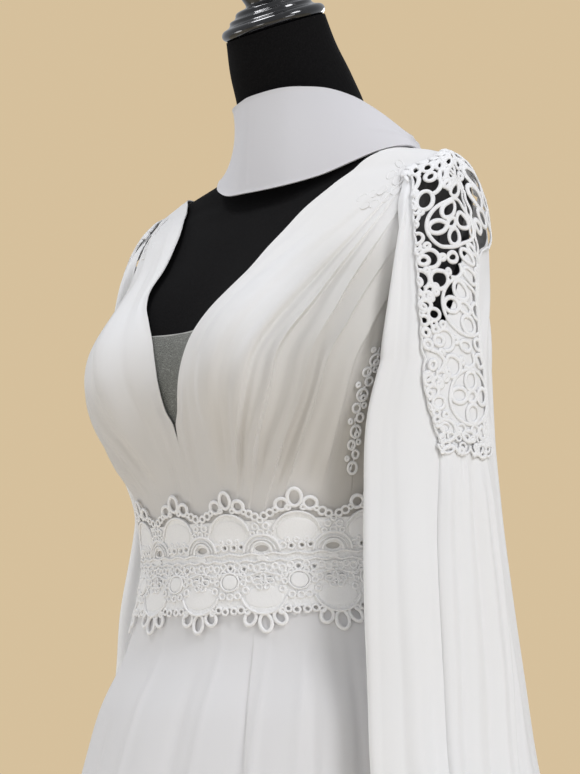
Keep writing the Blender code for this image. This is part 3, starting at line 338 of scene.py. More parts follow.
def bust(x, z):
    rise = z - BUST_Z
    spread = np.where(rise > 0, BUST_UP, BUST_DOWN)
    q = np.abs(x) / BUST_X
    outside = np.exp(-((np.abs(x) - BUST_X) / BUST_SPREAD) ** 2 / 2)
    between = BUST_BRIDGE + (1 - BUST_BRIDGE) * np.sin(math.pi / 2 * np.clip(q, 0, 1)) ** 2
    return BUST_OUT * np.where(q > 1, outside, between) * np.exp(-(rise / spread) ** 2 / 2)


def ring(table, angle, z, with_bust=False):
    """The point of a table's ring at an angle in degrees, measured from the wearer's left."""
    width, front, back, centre, round_, tilt = (column(table, i, z) for i in range(1, 7))
    turn = np.radians(angle)
    c, s = np.cos(turn), np.sin(turn)
    x = width * np.sign(c) * np.abs(c) ** (2 / round_)
    y = np.where(s < 0, front, back) * np.sign(s) * np.abs(s) ** (2 / round_)
    if with_bust:
        y = y - bust(x, z) * np.sqrt(np.clip(-s, 0, 1))
    lean = np.radians(tilt)
    return np.stack([x, centre + y * np.cos(lean), z + y * np.sin(lean)], -1)


def torso(angle, z):
    return ring(TORSO, angle, z, with_bust=True)


def dress(angle, z):
    return ring(DRESS, angle, z)


def normal(surface, angle, z):
    """The outward normal of a surface by central differences."""
    along = surface(angle + ANGLE_STEP, z) - surface(angle - ANGLE_STEP, z)
    up = surface(angle, z + HEIGHT_STEP) - surface(angle, z - HEIGHT_STEP)
    return unit(np.cross(along, up))


def on_form(angle, z, lift):
    return torso(angle, z) + normal(torso, angle, z) * np.asarray(lift)[..., None]


def stand_off(z):
    return SHOULDER_REST + (STAND_OFF - SHOULDER_REST) * smooth((1.408 - z) / 0.055)


def mirrored(points, side):
    return points * np.array([side, 1.0, 1.0])


def run_along(points):
    """Length along a line, at each of its points."""
    return np.r_[0, np.cumsum(np.linalg.norm(np.diff(points, axis=0), axis=1))]


def wander(x, seed, step):
    """A slow uneven curve between -1 and 1, the same for each run."""
    values = np.random.default_rng(seed).uniform(-1, 1, 400)
    at = np.asarray(x, float) / step + 150
    k = np.clip(np.floor(at).astype(int), 0, 398)
    return values[k] * (1 - smooth(at - k)) + values[k + 1] * smooth(at - k)


def edge_bead(distance, height, width):
    return height * np.exp(-(distance / width) ** 2)


FRONTS = ("bodice_front_left", "bodice_front_right")
BACKS = ("bodice_back_left", "bodice_back_right")
# The cut of each shown sheet before it was sewn: width, length and area in metres, how held, on what it rests
CUTS = {
    "front": (0.26, 0.43, 0.068, "gathered", ("form_torso",)),
    "back": (0.25, 0.40, 0.079, "laid", ("form_torso",)),
    "insert": (0.115, 0.092, 0.0042, "stretched", FRONTS),
    "side_lace": (0.020, 0.110, 0.0019, "laid", FRONTS),
    "skirt_front": (1.46, 1.04, 0.93, "hung", FRONTS),
    "skirt_back": (1.50, 1.04, 0.96, "hung", BACKS),
    "waist_lace": (0.75, 0.108, 0.060, "laid", ("skirt_front", "skirt_back")),
    "sleeve_front": (0.22, 0.62, 0.072, "hung", FRONTS),
    "sleeve_back": (0.20, 0.62, 0.064, "hung", BACKS),
    "sleeve_lower": (0.09, 0.37, 0.028, "gathered", ("sleeve_lace_left", "sleeve_lace_right")),
    "sleeve_lining": (0.085, 0.20, 0.0085, "hung", ("sleeve_back_left", "sleeve_back_right")),
    "sleeve_lace": (0.115, 0.292, 0.022, "laid", ("sleeve_front_left", "sleeve_front_right")),
    "band": (0.60, 0.088, 0.040, "gathered", ("form_torso",)),
}


def declare(cut, with_pieces=()):
    width, length, area, held, rests_on = CUTS[cut]
    list(rests_on)


# Meshes

def add_mesh(name, points, faces, material, replaces=(), slot="white_chiffon", sharp=None):
    mesh = bpy.data.meshes.new(name)
    mesh.from_pydata(np.asarray(points, float).tolist(), [], [list(map(int, f)) for f in faces])
    mesh.validate()
    mesh.materials.append(material)
    mesh.shade_smooth()
    if sharp:
        mesh.set_sharp_from_angle(angle=math.radians(sharp))
    piece = bpy.data.objects.new(name, mesh)
    bpy.context.scene.collection.objects.link(piece)
    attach(piece, "root")
    if replaces:
        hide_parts(*replaces)
    return piece


def grid_faces(rows, columns, closed, start=0, flip=False):
    spans = columns if closed else columns - 1
    r, c = np.meshgrid(np.arange(rows - 1), np.arange(spans), indexing="ij")
    a = (r * columns + c).ravel()
    b = (r * columns + (c + 1) % columns).ravel()
    quads = np.stack([a, b, b + columns, a + columns], -1) + start
    return quads[:, ::-1] if flip else quads


def shell(name, outer, thickness, material, closed=False, normals=None, **extra):
    """A thin closed cloth under a grid of outer points."""
    rows, columns = outer.shape[:2]
    if normals is None:
        normals = unit(np.cross(np.gradient(outer, axis=1), np.gradient(outer, axis=0)))
    far = rows * columns
    faces = [grid_faces(rows, columns, closed), grid_faces(rows, columns, closed, far, flip=True)]
    low = np.arange(columns if closed else columns - 1)
    low_next = (low + 1) % columns
    top, top_next = low + (rows - 1) * columns, low_next + (rows - 1) * columns
    rims = [(low, low + far, low_next + far, low_next), (top, top_next, top_next + far, top + far)]
    if not closed:
        r = np.arange(rows - 1) * columns
        e = r + columns - 1
        rims += [(r, r + columns, r + columns + far, r + far), (e, e + far, e + columns + far, e + columns)]
    faces += [np.stack(rim, -1) for rim in rims]
    points = np.concatenate([outer.reshape(-1, 3), (outer - normals * thickness).reshape(-1, 3)])
    return add_mesh(name, points, np.concatenate(faces), material, sharp=75, **extra)


def half_cloth(name, side, outer, normals, flip, material, **extra):
    """One cloth of a mirrored pair, its columns turned round where it would come out inside out."""
    outer, normals = mirrored(outer, side), mirrored(normals, side)
    if flip:
        outer, normals = outer[:, ::-1], normals[:, ::-1]
    return shell(name, outer, SHOWN_CLOTH, material, normals=normals, **extra)


def turned(name, rings, material, **extra):
    """A closed solid through stacked rings of points."""
    rows, columns = rings.shape[:2]
    faces = [list(f) for f in grid_faces(rows, columns, True)]
    faces.append(list(range(columns))[::-1])
    faces.append([(rows - 1) * columns + c for c in range(columns)])
    return add_mesh(name, rings.reshape(-1, 3), faces, material, sharp=60, **extra)


def circles(profile, count):
    """Rings of points round the vertical through a profile of radii and heights."""
    turns = np.arange(count) * 2 * math.pi / count
    round_ = np.stack([np.cos(turns), np.sin(turns)], -1)
    return np.array([np.c_[round_ * r, np.full(count, z)] for r, z in profile])


def rounded(profile):
    """A profile with its corners cut off twice over, its two ends kept."""
    points = np.array(profile, float)
    for _ in range(2):
        a, b = points[:-1], points[1:]
        cut = np.stack([a * 0.75 + b * 0.25, a * 0.25 + b * 0.75], 1).reshape(-1, 2)
        points = np.concatenate([points[:1], cut[1:-1], points[-1:]])
    return points


# Flat curves of the lace: each is its points and whether it closes

def oval(x, y, rx, ry, turn=0.0, step=0.0014):
    count = max(10, int(round(2 * math.pi * (rx + ry) / 2 / step)))
    a = np.arange(count) * 2 * math.pi / count
    c, s = math.cos(math.radians(turn)), math.sin(math.radians(turn))
    px, py = rx * np.cos(a), ry * np.sin(a)
    return np.stack([x + px * c - py * s, y + px * s + py * c], -1), True


def arc(x, y, r, first, last, step):
    count = max(4, int(abs(math.radians(last - first)) * r / step))
    a = np.radians(np.linspace(first, last, count))
    return np.stack([x + r * np.cos(a), y + r * np.sin(a)], -1), False


def flat_line(x, y, closed=False):
    return np.stack(np.broadcast_arrays(x, y), -1), closed


def cords(name, curves, place, material, sides=6, slot="white_guipure", **extra):
    """Tubes along flat curves laid on a form. A curve is (points, closed, half width, low, high).

    The half width may be a row of numbers, one for each point.
    """
    flat = np.concatenate([c[0] for c in curves])
    middle = np.concatenate([np.full(len(c[0]), (c[3] + c[4]) / 2) for c in curves])
    centre = place(flat, middle)
    up = unit(place(flat, middle + 0.0004) - place(flat, middle - 0.0004))
    turns = np.arange(sides) * 2 * math.pi / sides
    points, faces = [], []
    start = 0
    for line, closed, half, low, high in curves:
        n = len(line)
        c, u = centre[start:start + n], up[start:start + n]
        along = np.roll(c, -1, axis=0) - np.roll(c, 1, axis=0) if closed else np.gradient(c, axis=0)
        side = unit(np.cross(along, u))
        wide = np.broadcast_to(np.asarray(half, float), (n,))
        tall = (high - low) / 2 * wide / wide.max()
        body = (c[:, None] + side[:, None] * (wide[:, None] * np.cos(turns)[None, :])[..., None]
                + u[:, None] * (tall[:, None] * np.sin(turns)[None, :])[..., None])
        points.append(body.reshape(-1, 3))
        base = start * sides
        faces += (grid_faces(n + closed, sides, True) % (n * sides) + base).tolist()
        if not closed:
            faces.append([base + k for k in range(sides)][::-1])
            faces.append([base + (n - 1) * sides + k for k in range(sides)])
        start += n
    return add_mesh(name, np.concatenate(points), faces, material, slot=slot, **extra)


# Rise of a domed patch from its edge to near its middle: share of its width, share of its height
DOME = ((1.0, 0.0), (0.995, 0.45), (0.95, 0.80), (0.86, 0.95), (0.6, 1.0), (0.3, 0.97))
DOME_TIP = 0.95


def pads(name, shapes, place, material):
    """Domed patches of thread: each shape is (outline, low, high) and pulls in towards its middle."""
    points, faces = [], []
    base = 0
    for outline, low, high in shapes:
        n = len(outline)
        middle = outline.mean(axis=0)
        for share, rise in DOME:
            points.append(place(middle + (outline - middle) * share, np.full(n, low + (high - low) * rise)))
        points.append(place(middle[None], np.array([low + (high - low) * DOME_TIP])))
        faces += (grid_faces(len(DOME), n, True) + base).tolist()
        tip = base + len(DOME) * n
        faces += [[tip - n + k, tip - n + (k + 1) % n, tip] for k in range(n)]
        faces.append([base + k for k in range(n)][::-1])
        base = tip + 1
    return add_mesh(name, np.concatenate(points), faces, material, slot="white_guipure")


def inside(point, outline):
    x, y = point
    crossed = False
    for (ax, ay), (bx, by) in zip(outline, outline[1:] + outline[:1]):
        if (ay > y) != (by > y) and x < ax + (y - ay) / (by - ay) * (bx - ax):
            crossed = not crossed
    return crossed


def flat_net(outline, gaps, pitch):
    """Triangles over a flat outline with gaps cut through it."""
    def covered(spot):
        return inside(spot, outline) and not any(inside(spot, gap) for gap in gaps)

    flat, edges = [], []
    for loop in [outline] + gaps:
        start = len(flat)
        edges += [(start + k, start + (k + 1) % len(loop)) for k in range(len(loop))]
        flat += loop
    rim = np.array(flat)
    low, high = np.min(outline, axis=0), np.max(outline, axis=0)
    for x in np.arange(low[0] + pitch / 2, high[0], pitch):
        for y in np.arange(low[1] + pitch / 2, high[1], pitch):
            if np.min(np.hypot(rim[:, 0] - x, rim[:, 1] - y)) > pitch * 0.45 and covered((x, y)):
                flat.append((x, y))
    scale = 1000.0
    found = delaunay_2d_cdt([Vector((x * scale, y * scale)) for x, y in flat], edges, [], 0, 1e-5)
    spots = np.array([(v.x / scale, v.y / scale) for v in found[0]])
    kept = [tuple(face) for face in found[2] if covered(tuple(spots[list(face)].mean(axis=0)))]
    used = sorted({k for face in kept for k in face})
    place_of = {k: i for i, k in enumerate(used)}
    return spots[used], [tuple(place_of[k] for k in face) for face in kept]


def plate(name, spots, faces, low, high, place, material, **extra):
    """A thin plate from flat triangles, low and high above the form."""
    far = len(spots)
    seen = {}
    for a, b, c in faces:
        for pair in ((a, b), (b, c), (c, a)):
            seen.setdefault(tuple(sorted(pair)), []).append(pair)
    # The outer face is the second layer, so its triangles keep their order
    body = [(a, c, b) for a, b, c in faces] + [(far + a, far + b, far + c) for a, b, c in faces]
    body += [(a, b, far + b, far + a) for (a, b), *others in seen.values() if not others]
    points = np.concatenate([place(spots, np.full(far, low)), place(spots, np.full(far, high))])
    return add_mesh(name, points, body, material, sharp=50, **extra)


# Materials

def node(tree, kind, inputs, **settings):
    """A shader node whose inputs take numbers, colours or the outputs of other nodes."""
    made = tree.nodes.new(f"ShaderNode{kind}")
    for name, value in settings.items():
        setattr(made, name, value)
    for name, value in inputs.items():
        if isinstance(value, bpy.types.NodeSocket):
            tree.links.new(value, made.inputs[name])
        else:
            made.inputs[name].default_value = value
    return made


def noise(tree, where, scale, detail=2.0, stretch=(1, 1, 1)):
    spread = node(tree, "Mapping", {"Scale": stretch, "Vector": where})
    inputs = {"Scale": scale, "Detail": detail, "Vector": spread.outputs["Vector"]}
    return node(tree, "TexNoise", inputs).outputs["Fac"]


def wave(tree, where, direction, scale, distortion):
    inputs = {"Scale": scale, "Distortion": distortion, "Detail": 1.0, "Vector": where}
    return node(tree, "TexWave", inputs, bands_direction=direction).outputs["Fac"]


def ramp(tree, source, *stops):
    """Two colours over a value: each stop is a place and a colour."""
    made = node(tree, "ValToRGB", {"Fac": source})
    for element, (place, colour) in zip(made.color_ramp.elements, stops):
        element.position = place
        element.color = (*colour, 1)
    return made.outputs["Color"]


def soft_step(tree, value, first, last):
    inputs = {"Value": value, "From Min": first, "From Max": last}
    return node(tree, "MapRange", inputs, interpolation_type="SMOOTHSTEP").outputs["Result"]


def calculated(tree, operation, *values):
    return node(tree, "Math", dict(enumerate(values)), operation=operation).outputs["Value"]


def blend(tree, share, under, over, kind="MIX"):
    inputs = {"Factor": share, "A": under, "B": over}
    return node(tree, "Mix", inputs, data_type="RGBA", blend_type=kind).outputs["Result"]


def bumps(tree, shader, *layers):
    """Bumps laid one over the other: each is a height, a strength and a distance."""
    under = {}
    for height, strength, distance in layers:
        over = node(tree, "Bump", {"Height": height, "Strength": strength, "Distance": distance, **under})
        under = {"Normal": over.outputs["Normal"]}
    tree.links.new(under["Normal"], shader.inputs["Normal"])


def roughen(tree, shader, value, first, last, low, high):
    inputs = {"Value": value, "From Min": first, "From Max": last, "To Min": low, "To Max": high}
    tree.links.new(node(tree, "MapRange", inputs).outputs["Result"], shader.inputs["Roughness"])


def new_material(name, base, roughness, sheen=0.0, coat=0.0, specular=0.5):
    material = bpy.data.materials.new(name)
    material.use_nodes = True
    tree = material.node_tree
    shader = tree.nodes["Principled BSDF"]
    looks = {"Base Color": (*base, 1.0), "Roughness": roughness, "Metallic": 0.0, "Sheen Weight": sheen,
             "Sheen Roughness": 0.45, "Coat Weight": coat, "Coat Roughness": 0.05,
             "Specular IOR Level": specular}
    for socket, value in looks.items():
        shader.inputs[socket].default_value = value
    return material, tree, shader, tree.nodes.new("ShaderNodeTexCoord").outputs["Object"]


def make_chiffon(name, warm, cool, weave=1.0, low=None):
    """Crepe chiffon: a fine plain weave, a soft pebble and slow changes of tone; with a low tone given, also
    painted shade towards the waist and beside the arms.
    """
    material, tree, shader, where = new_material(name, warm, 0.72, sheen=0.22, specular=0.28)
    shown = ramp(tree, noise(tree, where, 7.0, 3.0, (1, 1, 0.45)), (0.34, warm), (0.66, cool))
    if low:
        # Painted shade: the cloth darkens towards the waist, under the bust
        spot = node(tree, "SeparateXYZ", {"Vector": where}).outputs
        waist_shade = soft_step(tree, spot["Z"], PAINTED_WAIST_SHADE_LOW_Z, PAINTED_WAIST_SHADE_HIGH_Z)
        shown = blend(tree, 1.0, shown, ramp(tree, waist_shade, (0.0, low), (1.0, (1.0, 1.0, 1.0))), "MULTIPLY")
        # Painted shade beside the arms, where the sleeves shade the bodice
        arm_shade = soft_step(tree, calculated(tree, "ABSOLUTE", spot["X"]), PAINTED_ARM_SHADE_FROM_X, PAINTED_ARM_SHADE_TO_X)
        below = soft_step(tree, spot["Z"], PAINTED_ARM_SHADE_HIGH_Z, PAINTED_ARM_SHADE_LOW_Z)
        shown = blend(tree, calculated(tree, "MULTIPLY", arm_shade, below), shown, PAINTED_ARM_SHADE_TONE, "MULTIPLY")
    tree.links.new(shown, shader.inputs["Base Color"])
    woven = calculated(tree, "MULTIPLY", *(wave(tree, where, way, 620.0, 1.2) for way in "XZ"))
    pebble = noise(tree, where, 900.0)
    crinkle = noise(tree, where, 55.0, 3.0, (1, 1, 0.25))
    grain = 0.10 * weave
    bumps(tree, shader, (woven, grain, 0.0004), (pebble, grain, 0.0006), (crinkle, 0.10, 0.0012))
    roughen(tree, shader, pebble, 0.0, 1.0, 0.62, 0.82)
    return material


def make_guipure(name, base, painted_groove_shade, grain=1.0, net=0.0):
    """Corded lace: dense short stitches across the cords, with painted shade darkening their grooves."""
    material, tree, shader, where = new_material(name, base, 0.66, sheen=0.12, specular=0.32)
    stitches = noise(tree, where, 1500.0, 2.0, (1, 1, 0.5))
    # Painted shade: the stitches' grooves are coloured darker
    tree.links.new(ramp(tree, stitches, (0.30, painted_groove_shade), (0.58, base)), shader.inputs["Base Color"])
    layers = [(stitches, 0.45 * grain, 0.0006), (noise(tree, where, 420.0, 1.0), 0.25 * grain, 0.0010)]
    if net:
        cells = node(tree, "TexVoronoi", {"Scale": 330.0, "Vector": where})
        layers.append((cells.outputs["Distance"], net, 0.0012))
    bumps(tree, shader, *layers)
    return material


def make_tulle():
    """Fine grey net: small cells whose threads are lighter than what shows through them."""
    material, tree, shader, where = new_material("grey_tulle_net", (0.16, 0.165, 0.15), 0.8, sheen=0.2,
                                                 specular=0.2)
    cells = node(tree, "TexVoronoi", {"Scale": 800.0, "Vector": where}, feature="DISTANCE_TO_EDGE")
    thread = cells.outputs["Distance"]
    net = ramp(tree, thread, (0.05, (0.30, 0.305, 0.285)), (0.16, (0.12, 0.125, 0.112)))
    cloud = noise(tree, where, 40.0, 2.0, (1, 1, 0.4))
    fog = ramp(tree, cloud, (0.3, (0.80, 0.80, 0.79)), (0.7, (1.0, 1.0, 1.0)))
    tree.links.new(blend(tree, 1.0, net, fog, "MULTIPLY"), shader.inputs["Base Color"])
    bumps(tree, shader, (thread, 0.3, 0.0004))
    return material


def make_jersey():
    """Black knitted cover: fine ribs, matt, with a breath of lint, and painted light greying it inside the
    sleeves.
    """
    material, tree, shader, where = new_material("black_jersey_knit", (0.006, 0.006, 0.0065), 0.92,
                                                 specular=0.12)
    lint = noise(tree, where, 700.0)
    colour = ramp(tree, lint, (0.35, (0.003, 0.0028, 0.003)), (0.80, (0.008, 0.0075, 0.008)))
    # Painted light: the cover is greyed inside the sleeves, standing in for light that comes through the
    # chiffon
    across = node(tree, "SeparateXYZ", {"Vector": where}).outputs["X"]
    painted_light_share = soft_step(tree, calculated(tree, "ABSOLUTE", across), PAINTED_LIGHT_FROM_X, PAINTED_LIGHT_TO_X)
    tree.links.new(blend(tree, painted_light_share, colour, PAINTED_LIGHT_COVER_TONE), shader.inputs["Base Color"])
    bumps(tree, shader, (wave(tree, where, "X", 260.0, 2.0), 0.20, 0.0006), (lint, 0.25, 0.0005))
    return material


def make_lacquer():
    """Deep black lacquer over turned wood, with faint waves and a few rubbed spots."""
    material, tree, shader, where = new_material("black_lacquer_gloss", (0.006, 0.006, 0.007), 0.14, coat=0.8)
    wear = noise(tree, where, 160.0, 4.0)
    roughen(tree, shader, wear, 0.45, 0.75, 0.10, 0.34)
    colour = ramp(tree, wear, (0.55, (0.005, 0.005, 0.006)), (0.85, (0.016, 0.015, 0.014)))
    tree.links.new(colour, shader.inputs["Base Color"])
    bumps(tree, shader, (noise(tree, where, 30.0), 0.05, 0.002))
    return material


# Where painted light greys the cover, across from the middle, and its tone there
PAINTED_LIGHT_FROM_X = 0.146
PAINTED_LIGHT_TO_X = 0.168
PAINTED_LIGHT_COVER_TONE = (0.085, 0.083, 0.084, 1.0)
# Where painted shade darkens the bodice beside the arms and towards the waist
PAINTED_ARM_SHADE_FROM_X = 0.095
PAINTED_ARM_SHADE_TO_X = 0.140
PAINTED_ARM_SHADE_LOW_Z = 1.290
PAINTED_ARM_SHADE_HIGH_Z = 1.350
PAINTED_ARM_SHADE_TONE = (0.82, 0.81, 0.785, 1.0)
PAINTED_WAIST_SHADE_LOW_Z = 1.130
PAINTED_WAIST_SHADE_HIGH_Z = 1.290
PAINTED_WAIST_SHADE_TONE = (0.82, 0.797, 0.768)
# The bodice's chiffon, with painted shade towards the waist and beside the arms
chiffon = make_chiffon("white_chiffon_crepe", (0.83, 0.82, 0.805), (0.83, 0.83, 0.835), low=PAINTED_WAIST_SHADE_TONE)
sleeve_chiffon = make_chiffon("white_chiffon_sleeve", (0.87, 0.865, 0.86), (0.87, 0.875, 0.885))
# A darker copy of the chiffon for the band: painted shade
shaded_collar_chiffon = make_chiffon("white_chiffon_band_painted_shade", (0.68, 0.67, 0.69), (0.69, 0.685, 0.705), weave=0.6)
# A darker copy of the chiffon for the skirt: painted shade
shaded_skirt_chiffon = make_chiffon("white_chiffon_skirt_painted_shade", (0.75, 0.742, 0.745), (0.76, 0.755, 0.76))
guipure = make_guipure("white_guipure_cord", (0.94, 0.935, 0.935), (0.87, 0.865, 0.86), 0.7)
guipure_net = make_guipure("white_guipure_net", (0.93, 0.925, 0.92), (0.85, 0.845, 0.84), 0.6, net=0.55)
guipure_satin = make_guipure("white_guipure_satin", (0.92, 0.915, 0.91), (0.88, 0.875, 0.87), 0.4)
sleeve_guipure = make_guipure("white_guipure_sleeve", (0.93, 0.93, 0.935), (0.85, 0.85, 0.855))
tulle = make_tulle()
tulle_edge = make_guipure("grey_tulle_binding", (0.50, 0.50, 0.48), (0.36, 0.36, 0.34))
jersey = make_jersey()
lacquer = make_lacquer()


# The form and its stand

COVER_SINKS = 0.0016
CENTRE_BACK = 90.0
NECK_SEAM_Z = 1.448


def build_form():
    angles = -90 + np.arange(120) * 3.0
    heights = np.r_[np.linspace(TORSO_FLOOR_Z, 1.380, 70), np.linspace(1.386, 1.447, 26),
                    np.linspace(1.454, 1.568, 18)]
    angle, z = np.meshgrid(angles, heights)
    # Padding under the sleeves' crowns gives way a little to the cloth
    sunk = COVER_SINKS * smooth((np.abs(np.cos(np.radians(angle))) - 0.60) / 0.15)
    sunk = sunk * smooth((z - 1.300) / 0.020) * smooth((1.408 - z) / 0.006)
    rings = on_form(angle, z, -sunk)
    crown = rings[-1].mean(axis=0)
    inner_top = crown + (rings[-1:] - crown) * 0.96
    rings = np.concatenate([rings[:1] * np.array([0.985, 0.985, 1.0]), rings, inner_top])
    turned("torso_cover", rings, jersey, replaces=("form_torso",), slot="black_jersey")

    # Seams of the cover: down the centre back and both sides, and round the neck
    seams = []
    for angle, top in ((CENTRE_BACK, 1.40), (0.0, 1.405), (180.0, 1.405)):
        seams.append((*flat_line(angle, np.linspace(0.81, top, 220)), 0.0009, -0.0006, 0.0005))
    seams.append((*flat_line(np.arange(120) * 3.0 - 180, NECK_SEAM_Z, closed=True), 0.0010, -0.0006, 0.0006))

    def on_torso(spots, height):
        return on_form(spots[:, 0], spots[:, 1], height)

    cords("torso_seams", seams, on_torso, jersey, slot="black_jersey")

    top = TORSO[-1]
    lean = math.radians(top[6])
    across, up = (0.0, math.cos(lean), math.sin(lean)), (0.0, -math.sin(lean), math.cos(lean))
    axes = np.array([(1.0, 0.0, 0.0), across, up])
    cap = (circles(rounded(CAP_PROFILE), 96) + (0.0, 0.0, FIT)) @ axes + (0.0, top[4], top[0])
    base = circles(rounded(BASE_PROFILE), 128)
    low, high = BASE_THICKNESS + FIT, TORSO_FLOOR_Z - FIT
    pole = (
        (0.0125, low), (0.030, low + 0.0004), (0.030, low + 0.006), (0.0225, low + 0.010),
        (0.0165, low + 0.022), (POLE_RADIUS, low + 0.027), (POLE_RADIUS, 0.400), (POLE_RADIUS, high - 0.020),
        (0.020, high - 0.016), (0.024, high - 0.004), (0.024, high),
    )
    turned("neck_cap", cap, lacquer, replaces=("form_neck_cap",), slot="black_lacquer")
    turned("stand_pole", circles(pole, 48), lacquer, replaces=("form_pole",), slot="black_lacquer")
    turned("stand_base", base, lacquer, replaces=("form_base",), slot="black_lacquer")


# Upper body

def half_angle(x, z):
    width = column(TORSO, 1, z)
    round_ = column(TORSO, 5, z)
    return -np.degrees(np.arccos(np.clip(x / width, 0, 1) ** (round_ / 2)))


def armhole(share):
    """Angle and height of the armhole's seam at a share of the way round."""
    table = np.concatenate([ARMHOLE[-3:-1] - (1, 0, 0), ARMHOLE, ARMHOLE[1:3] + (1, 0, 0)])
    return tuple(column(table, k, np.asarray(share, float) % 1.0) for k in (1, 2))


def v_line(shares):
    """Points of the V's edge on the form, at shares of the way up."""
    split = STATIONS[3]
    z = monotone(np.minimum(shares, split), STATIONS[:4], np.array(LEVELS))
    dense_z = np.r_[np.linspace(LEVELS[3], 1.417, 60), np.linspace(1.4175, V_EDGE[-1, 0], 20)]
    dense_angle = np.minimum(half_angle(column(V_EDGE, 1, dense_z), dense_z), -RIDGE_ANGLE)
    dense = torso(dense_angle, dense_z)
    run = run_along(dense)
    above = np.clip((shares - split) / (1 - split), 0, 1)
    upper = np.stack([np.interp(above * run[-1], run, dense[:, k]) for k in range(3)], -1)
    return np.where((shares > split)[:, None], upper, torso(half_angle(column(V_EDGE, 1, z), z), z))


def table_line(row, shares):
    """Points of a fold line or seam of the tables on the form, at shares of the way up."""
    name, *angles, high, end_kind, end = row
    facing = 1 if angles[0] > 0 or name.startswith("arm") else -1
    if end_kind == "armhole":
        top = [float(v) for v in armhole(end)]
        if end in (0.00, 1.00):
            top[0] = facing * RIDGE_ANGLE
    else:
        top = [facing * RIDGE_ANGLE, end] if end_kind == "shoulder" else list(end)
    at = torso(np.array([*angles, top[0]], float), np.array([*LEVELS, high, top[1]], float))
    return np.stack([monotone(shares, STATIONS, at[:, k]) for k in range(3)], -1)


def make_net():
    step_z = np.r_[np.arange(1.040, 1.380, 0.003), np.arange(1.380, 1.4270, 0.0005)]
    angle, z = np.meshgrid(np.arange(-96.0, 96.5, 0.75), step_z)
    points = torso(angle, z).reshape(-1, 3)
    tree = KDTree(len(points))
    for k, p in enumerate(points):
        tree.insert(p, k)
    tree.balance()
    return tree, angle.reshape(-1), z.reshape(-1)


NET = make_net()


def nearest(points):
    """Angle and height of the form's nearest point to each of some points."""
    tree, angle_net, z_net = NET
    flat = points.reshape(-1, 3)
    found = np.array([tree.find(p)[1] for p in flat])
    angle, z = angle_net[found], z_net[found]
    for _ in range(6):
        gap = flat - torso(angle, z)
        by_angle = (torso(angle + 0.1, z) - torso(angle - 0.1, z)) / 0.2
        by_z = (torso(angle, z + 0.0002) - torso(angle, z - 0.0002)) / 0.0004
        aa, zz = np.sum(by_angle**2, 1), np.sum(by_z**2, 1)
        az = np.sum(by_angle * by_z, 1)
        ga, gz = np.sum(gap * by_angle, 1), np.sum(gap * by_z, 1)
        scale = aa * zz - az**2
        angle = angle + np.clip((ga * zz - gz * az) / scale, -0.5, 0.5)
        z = z + np.clip((gz * aa - ga * az) / scale, -0.001, 0.001)
    return angle.reshape(points.shape[:-1]), z.reshape(points.shape[:-1])


def panel(lines, columns):
    """Angles and heights of a grid through some lines on the form."""
    knots = np.arange(len(lines), dtype=float)
    points = np.array(lines)
    rows = range(points.shape[1])
    grid = [[monotone(columns, knots, points[:, r, k]) for r in rows] for k in range(3)]
    return nearest(np.stack(grid, -1))


def crease_relief(cols, shares, creases, seed):
    """Soft troughs and ridges that run up the panel, each with its own length, depth and slow drift."""
    total = np.zeros((len(shares), len(cols)))
    for k, (middle, low, high, depth, width) in enumerate(creases):
        drift = 0.10 * wander(shares, seed + k, 0.22)
        window = smooth((shares - low) / 0.12) * smooth((high - shares) / 0.14)
        across = (cols[None, :] - middle - drift[:, None]) / width
        total += depth * window[:, None] * np.exp(-across**2)
    return total


def front_relief(cols, shares, folds):
    total = np.zeros((len(shares), len(cols)))
    rise_up = 0.26 * smooth((shares - 0.05) / 0.06) + 0.74 * smooth((shares - 0.165) / 0.10)
    for k, (depth, grown, fade, steep) in enumerate(folds):
        phase = cols - 1 - k
        climb = np.clip(phase / steep, 0, 1) ** 1.5
        drop = 1 - smooth((phase - steep) / (1 - steep))
        tooth = np.where((phase > 0) & (phase < 1), climb * drop, 0)
        height = rise_up * (0.55 + 0.45 * smooth((shares - grown + 0.06) / 0.16))
        height = height * (1 - 0.88 * smooth((shares - fade) / (1.02 - fade)))
        total += depth * height[:, None] * tooth[None, :]
    return total


# Columns of a front's grid: beside the V, over each fold and beside the side seam
V_COLUMNS = (0.016, 0.045, 0.08, 0.12, 0.20, 0.30, 0.42, 0.54, 0.66, 0.78, 0.90)
FOLD_COLUMNS = (0.0, 0.08, 0.17, 0.27, 0.38, 0.50, 0.61, 0.70, 0.77, 0.83, 0.875, 0.91, 0.94, 0.97)
SEAM_COLUMNS = (0.0, 0.08, 0.18, 0.30, 0.42, 0.54, 0.66, 0.78, 0.90, 0.97, 1.0)


def build_fronts():
    shares = np.r_[np.linspace(0, 0.93, 110), np.linspace(0.937, 1.0, 12)]
    count = len(FRONT_FOLDS)
    over_folds = np.add.outer(np.arange(1, count + 1), FOLD_COLUMNS).ravel()
    cols = np.r_[V_COLUMNS, over_folds, count + 1 + np.array(SEAM_COLUMNS)]
    angle, z = panel([v_line(shares)] + [table_line(row, shares) for row in FRONT_LINES], cols)
    n = normal(torso, angle, z)
    closing = 1 - smooth((z[:, 0] - 1.150) / 0.016)
    for side, tag, seed in ((1, "left", 11), (-1, "right", 47)):
        uneven = RIGHT_FOLDS if side < 0 else np.ones(count)
        folds = [(depth * more, *rest) for (depth, *rest), more in zip(FRONT_FOLDS, uneven)]
        relief = front_relief(cols, shares, folds)
        relief += crease_relief(cols, shares, FRONT_CREASES, seed) * smooth((shares - 0.10) / 0.08)[:, None]
        relief += edge_bead(cols - 0.03, 0.0004, 0.045)
        relief[:, -1] -= 0.0002
        outer = torso(angle, z) + n * (stand_off(z) + CHIFFON + relief)[..., None]
        outer[:, 0, 0] *= 1 - 0.97 * closing
        half_cloth(f"front_{tag}", side, outer, n, side < 0, chiffon, replaces=(f"bodice_front_{tag}",))


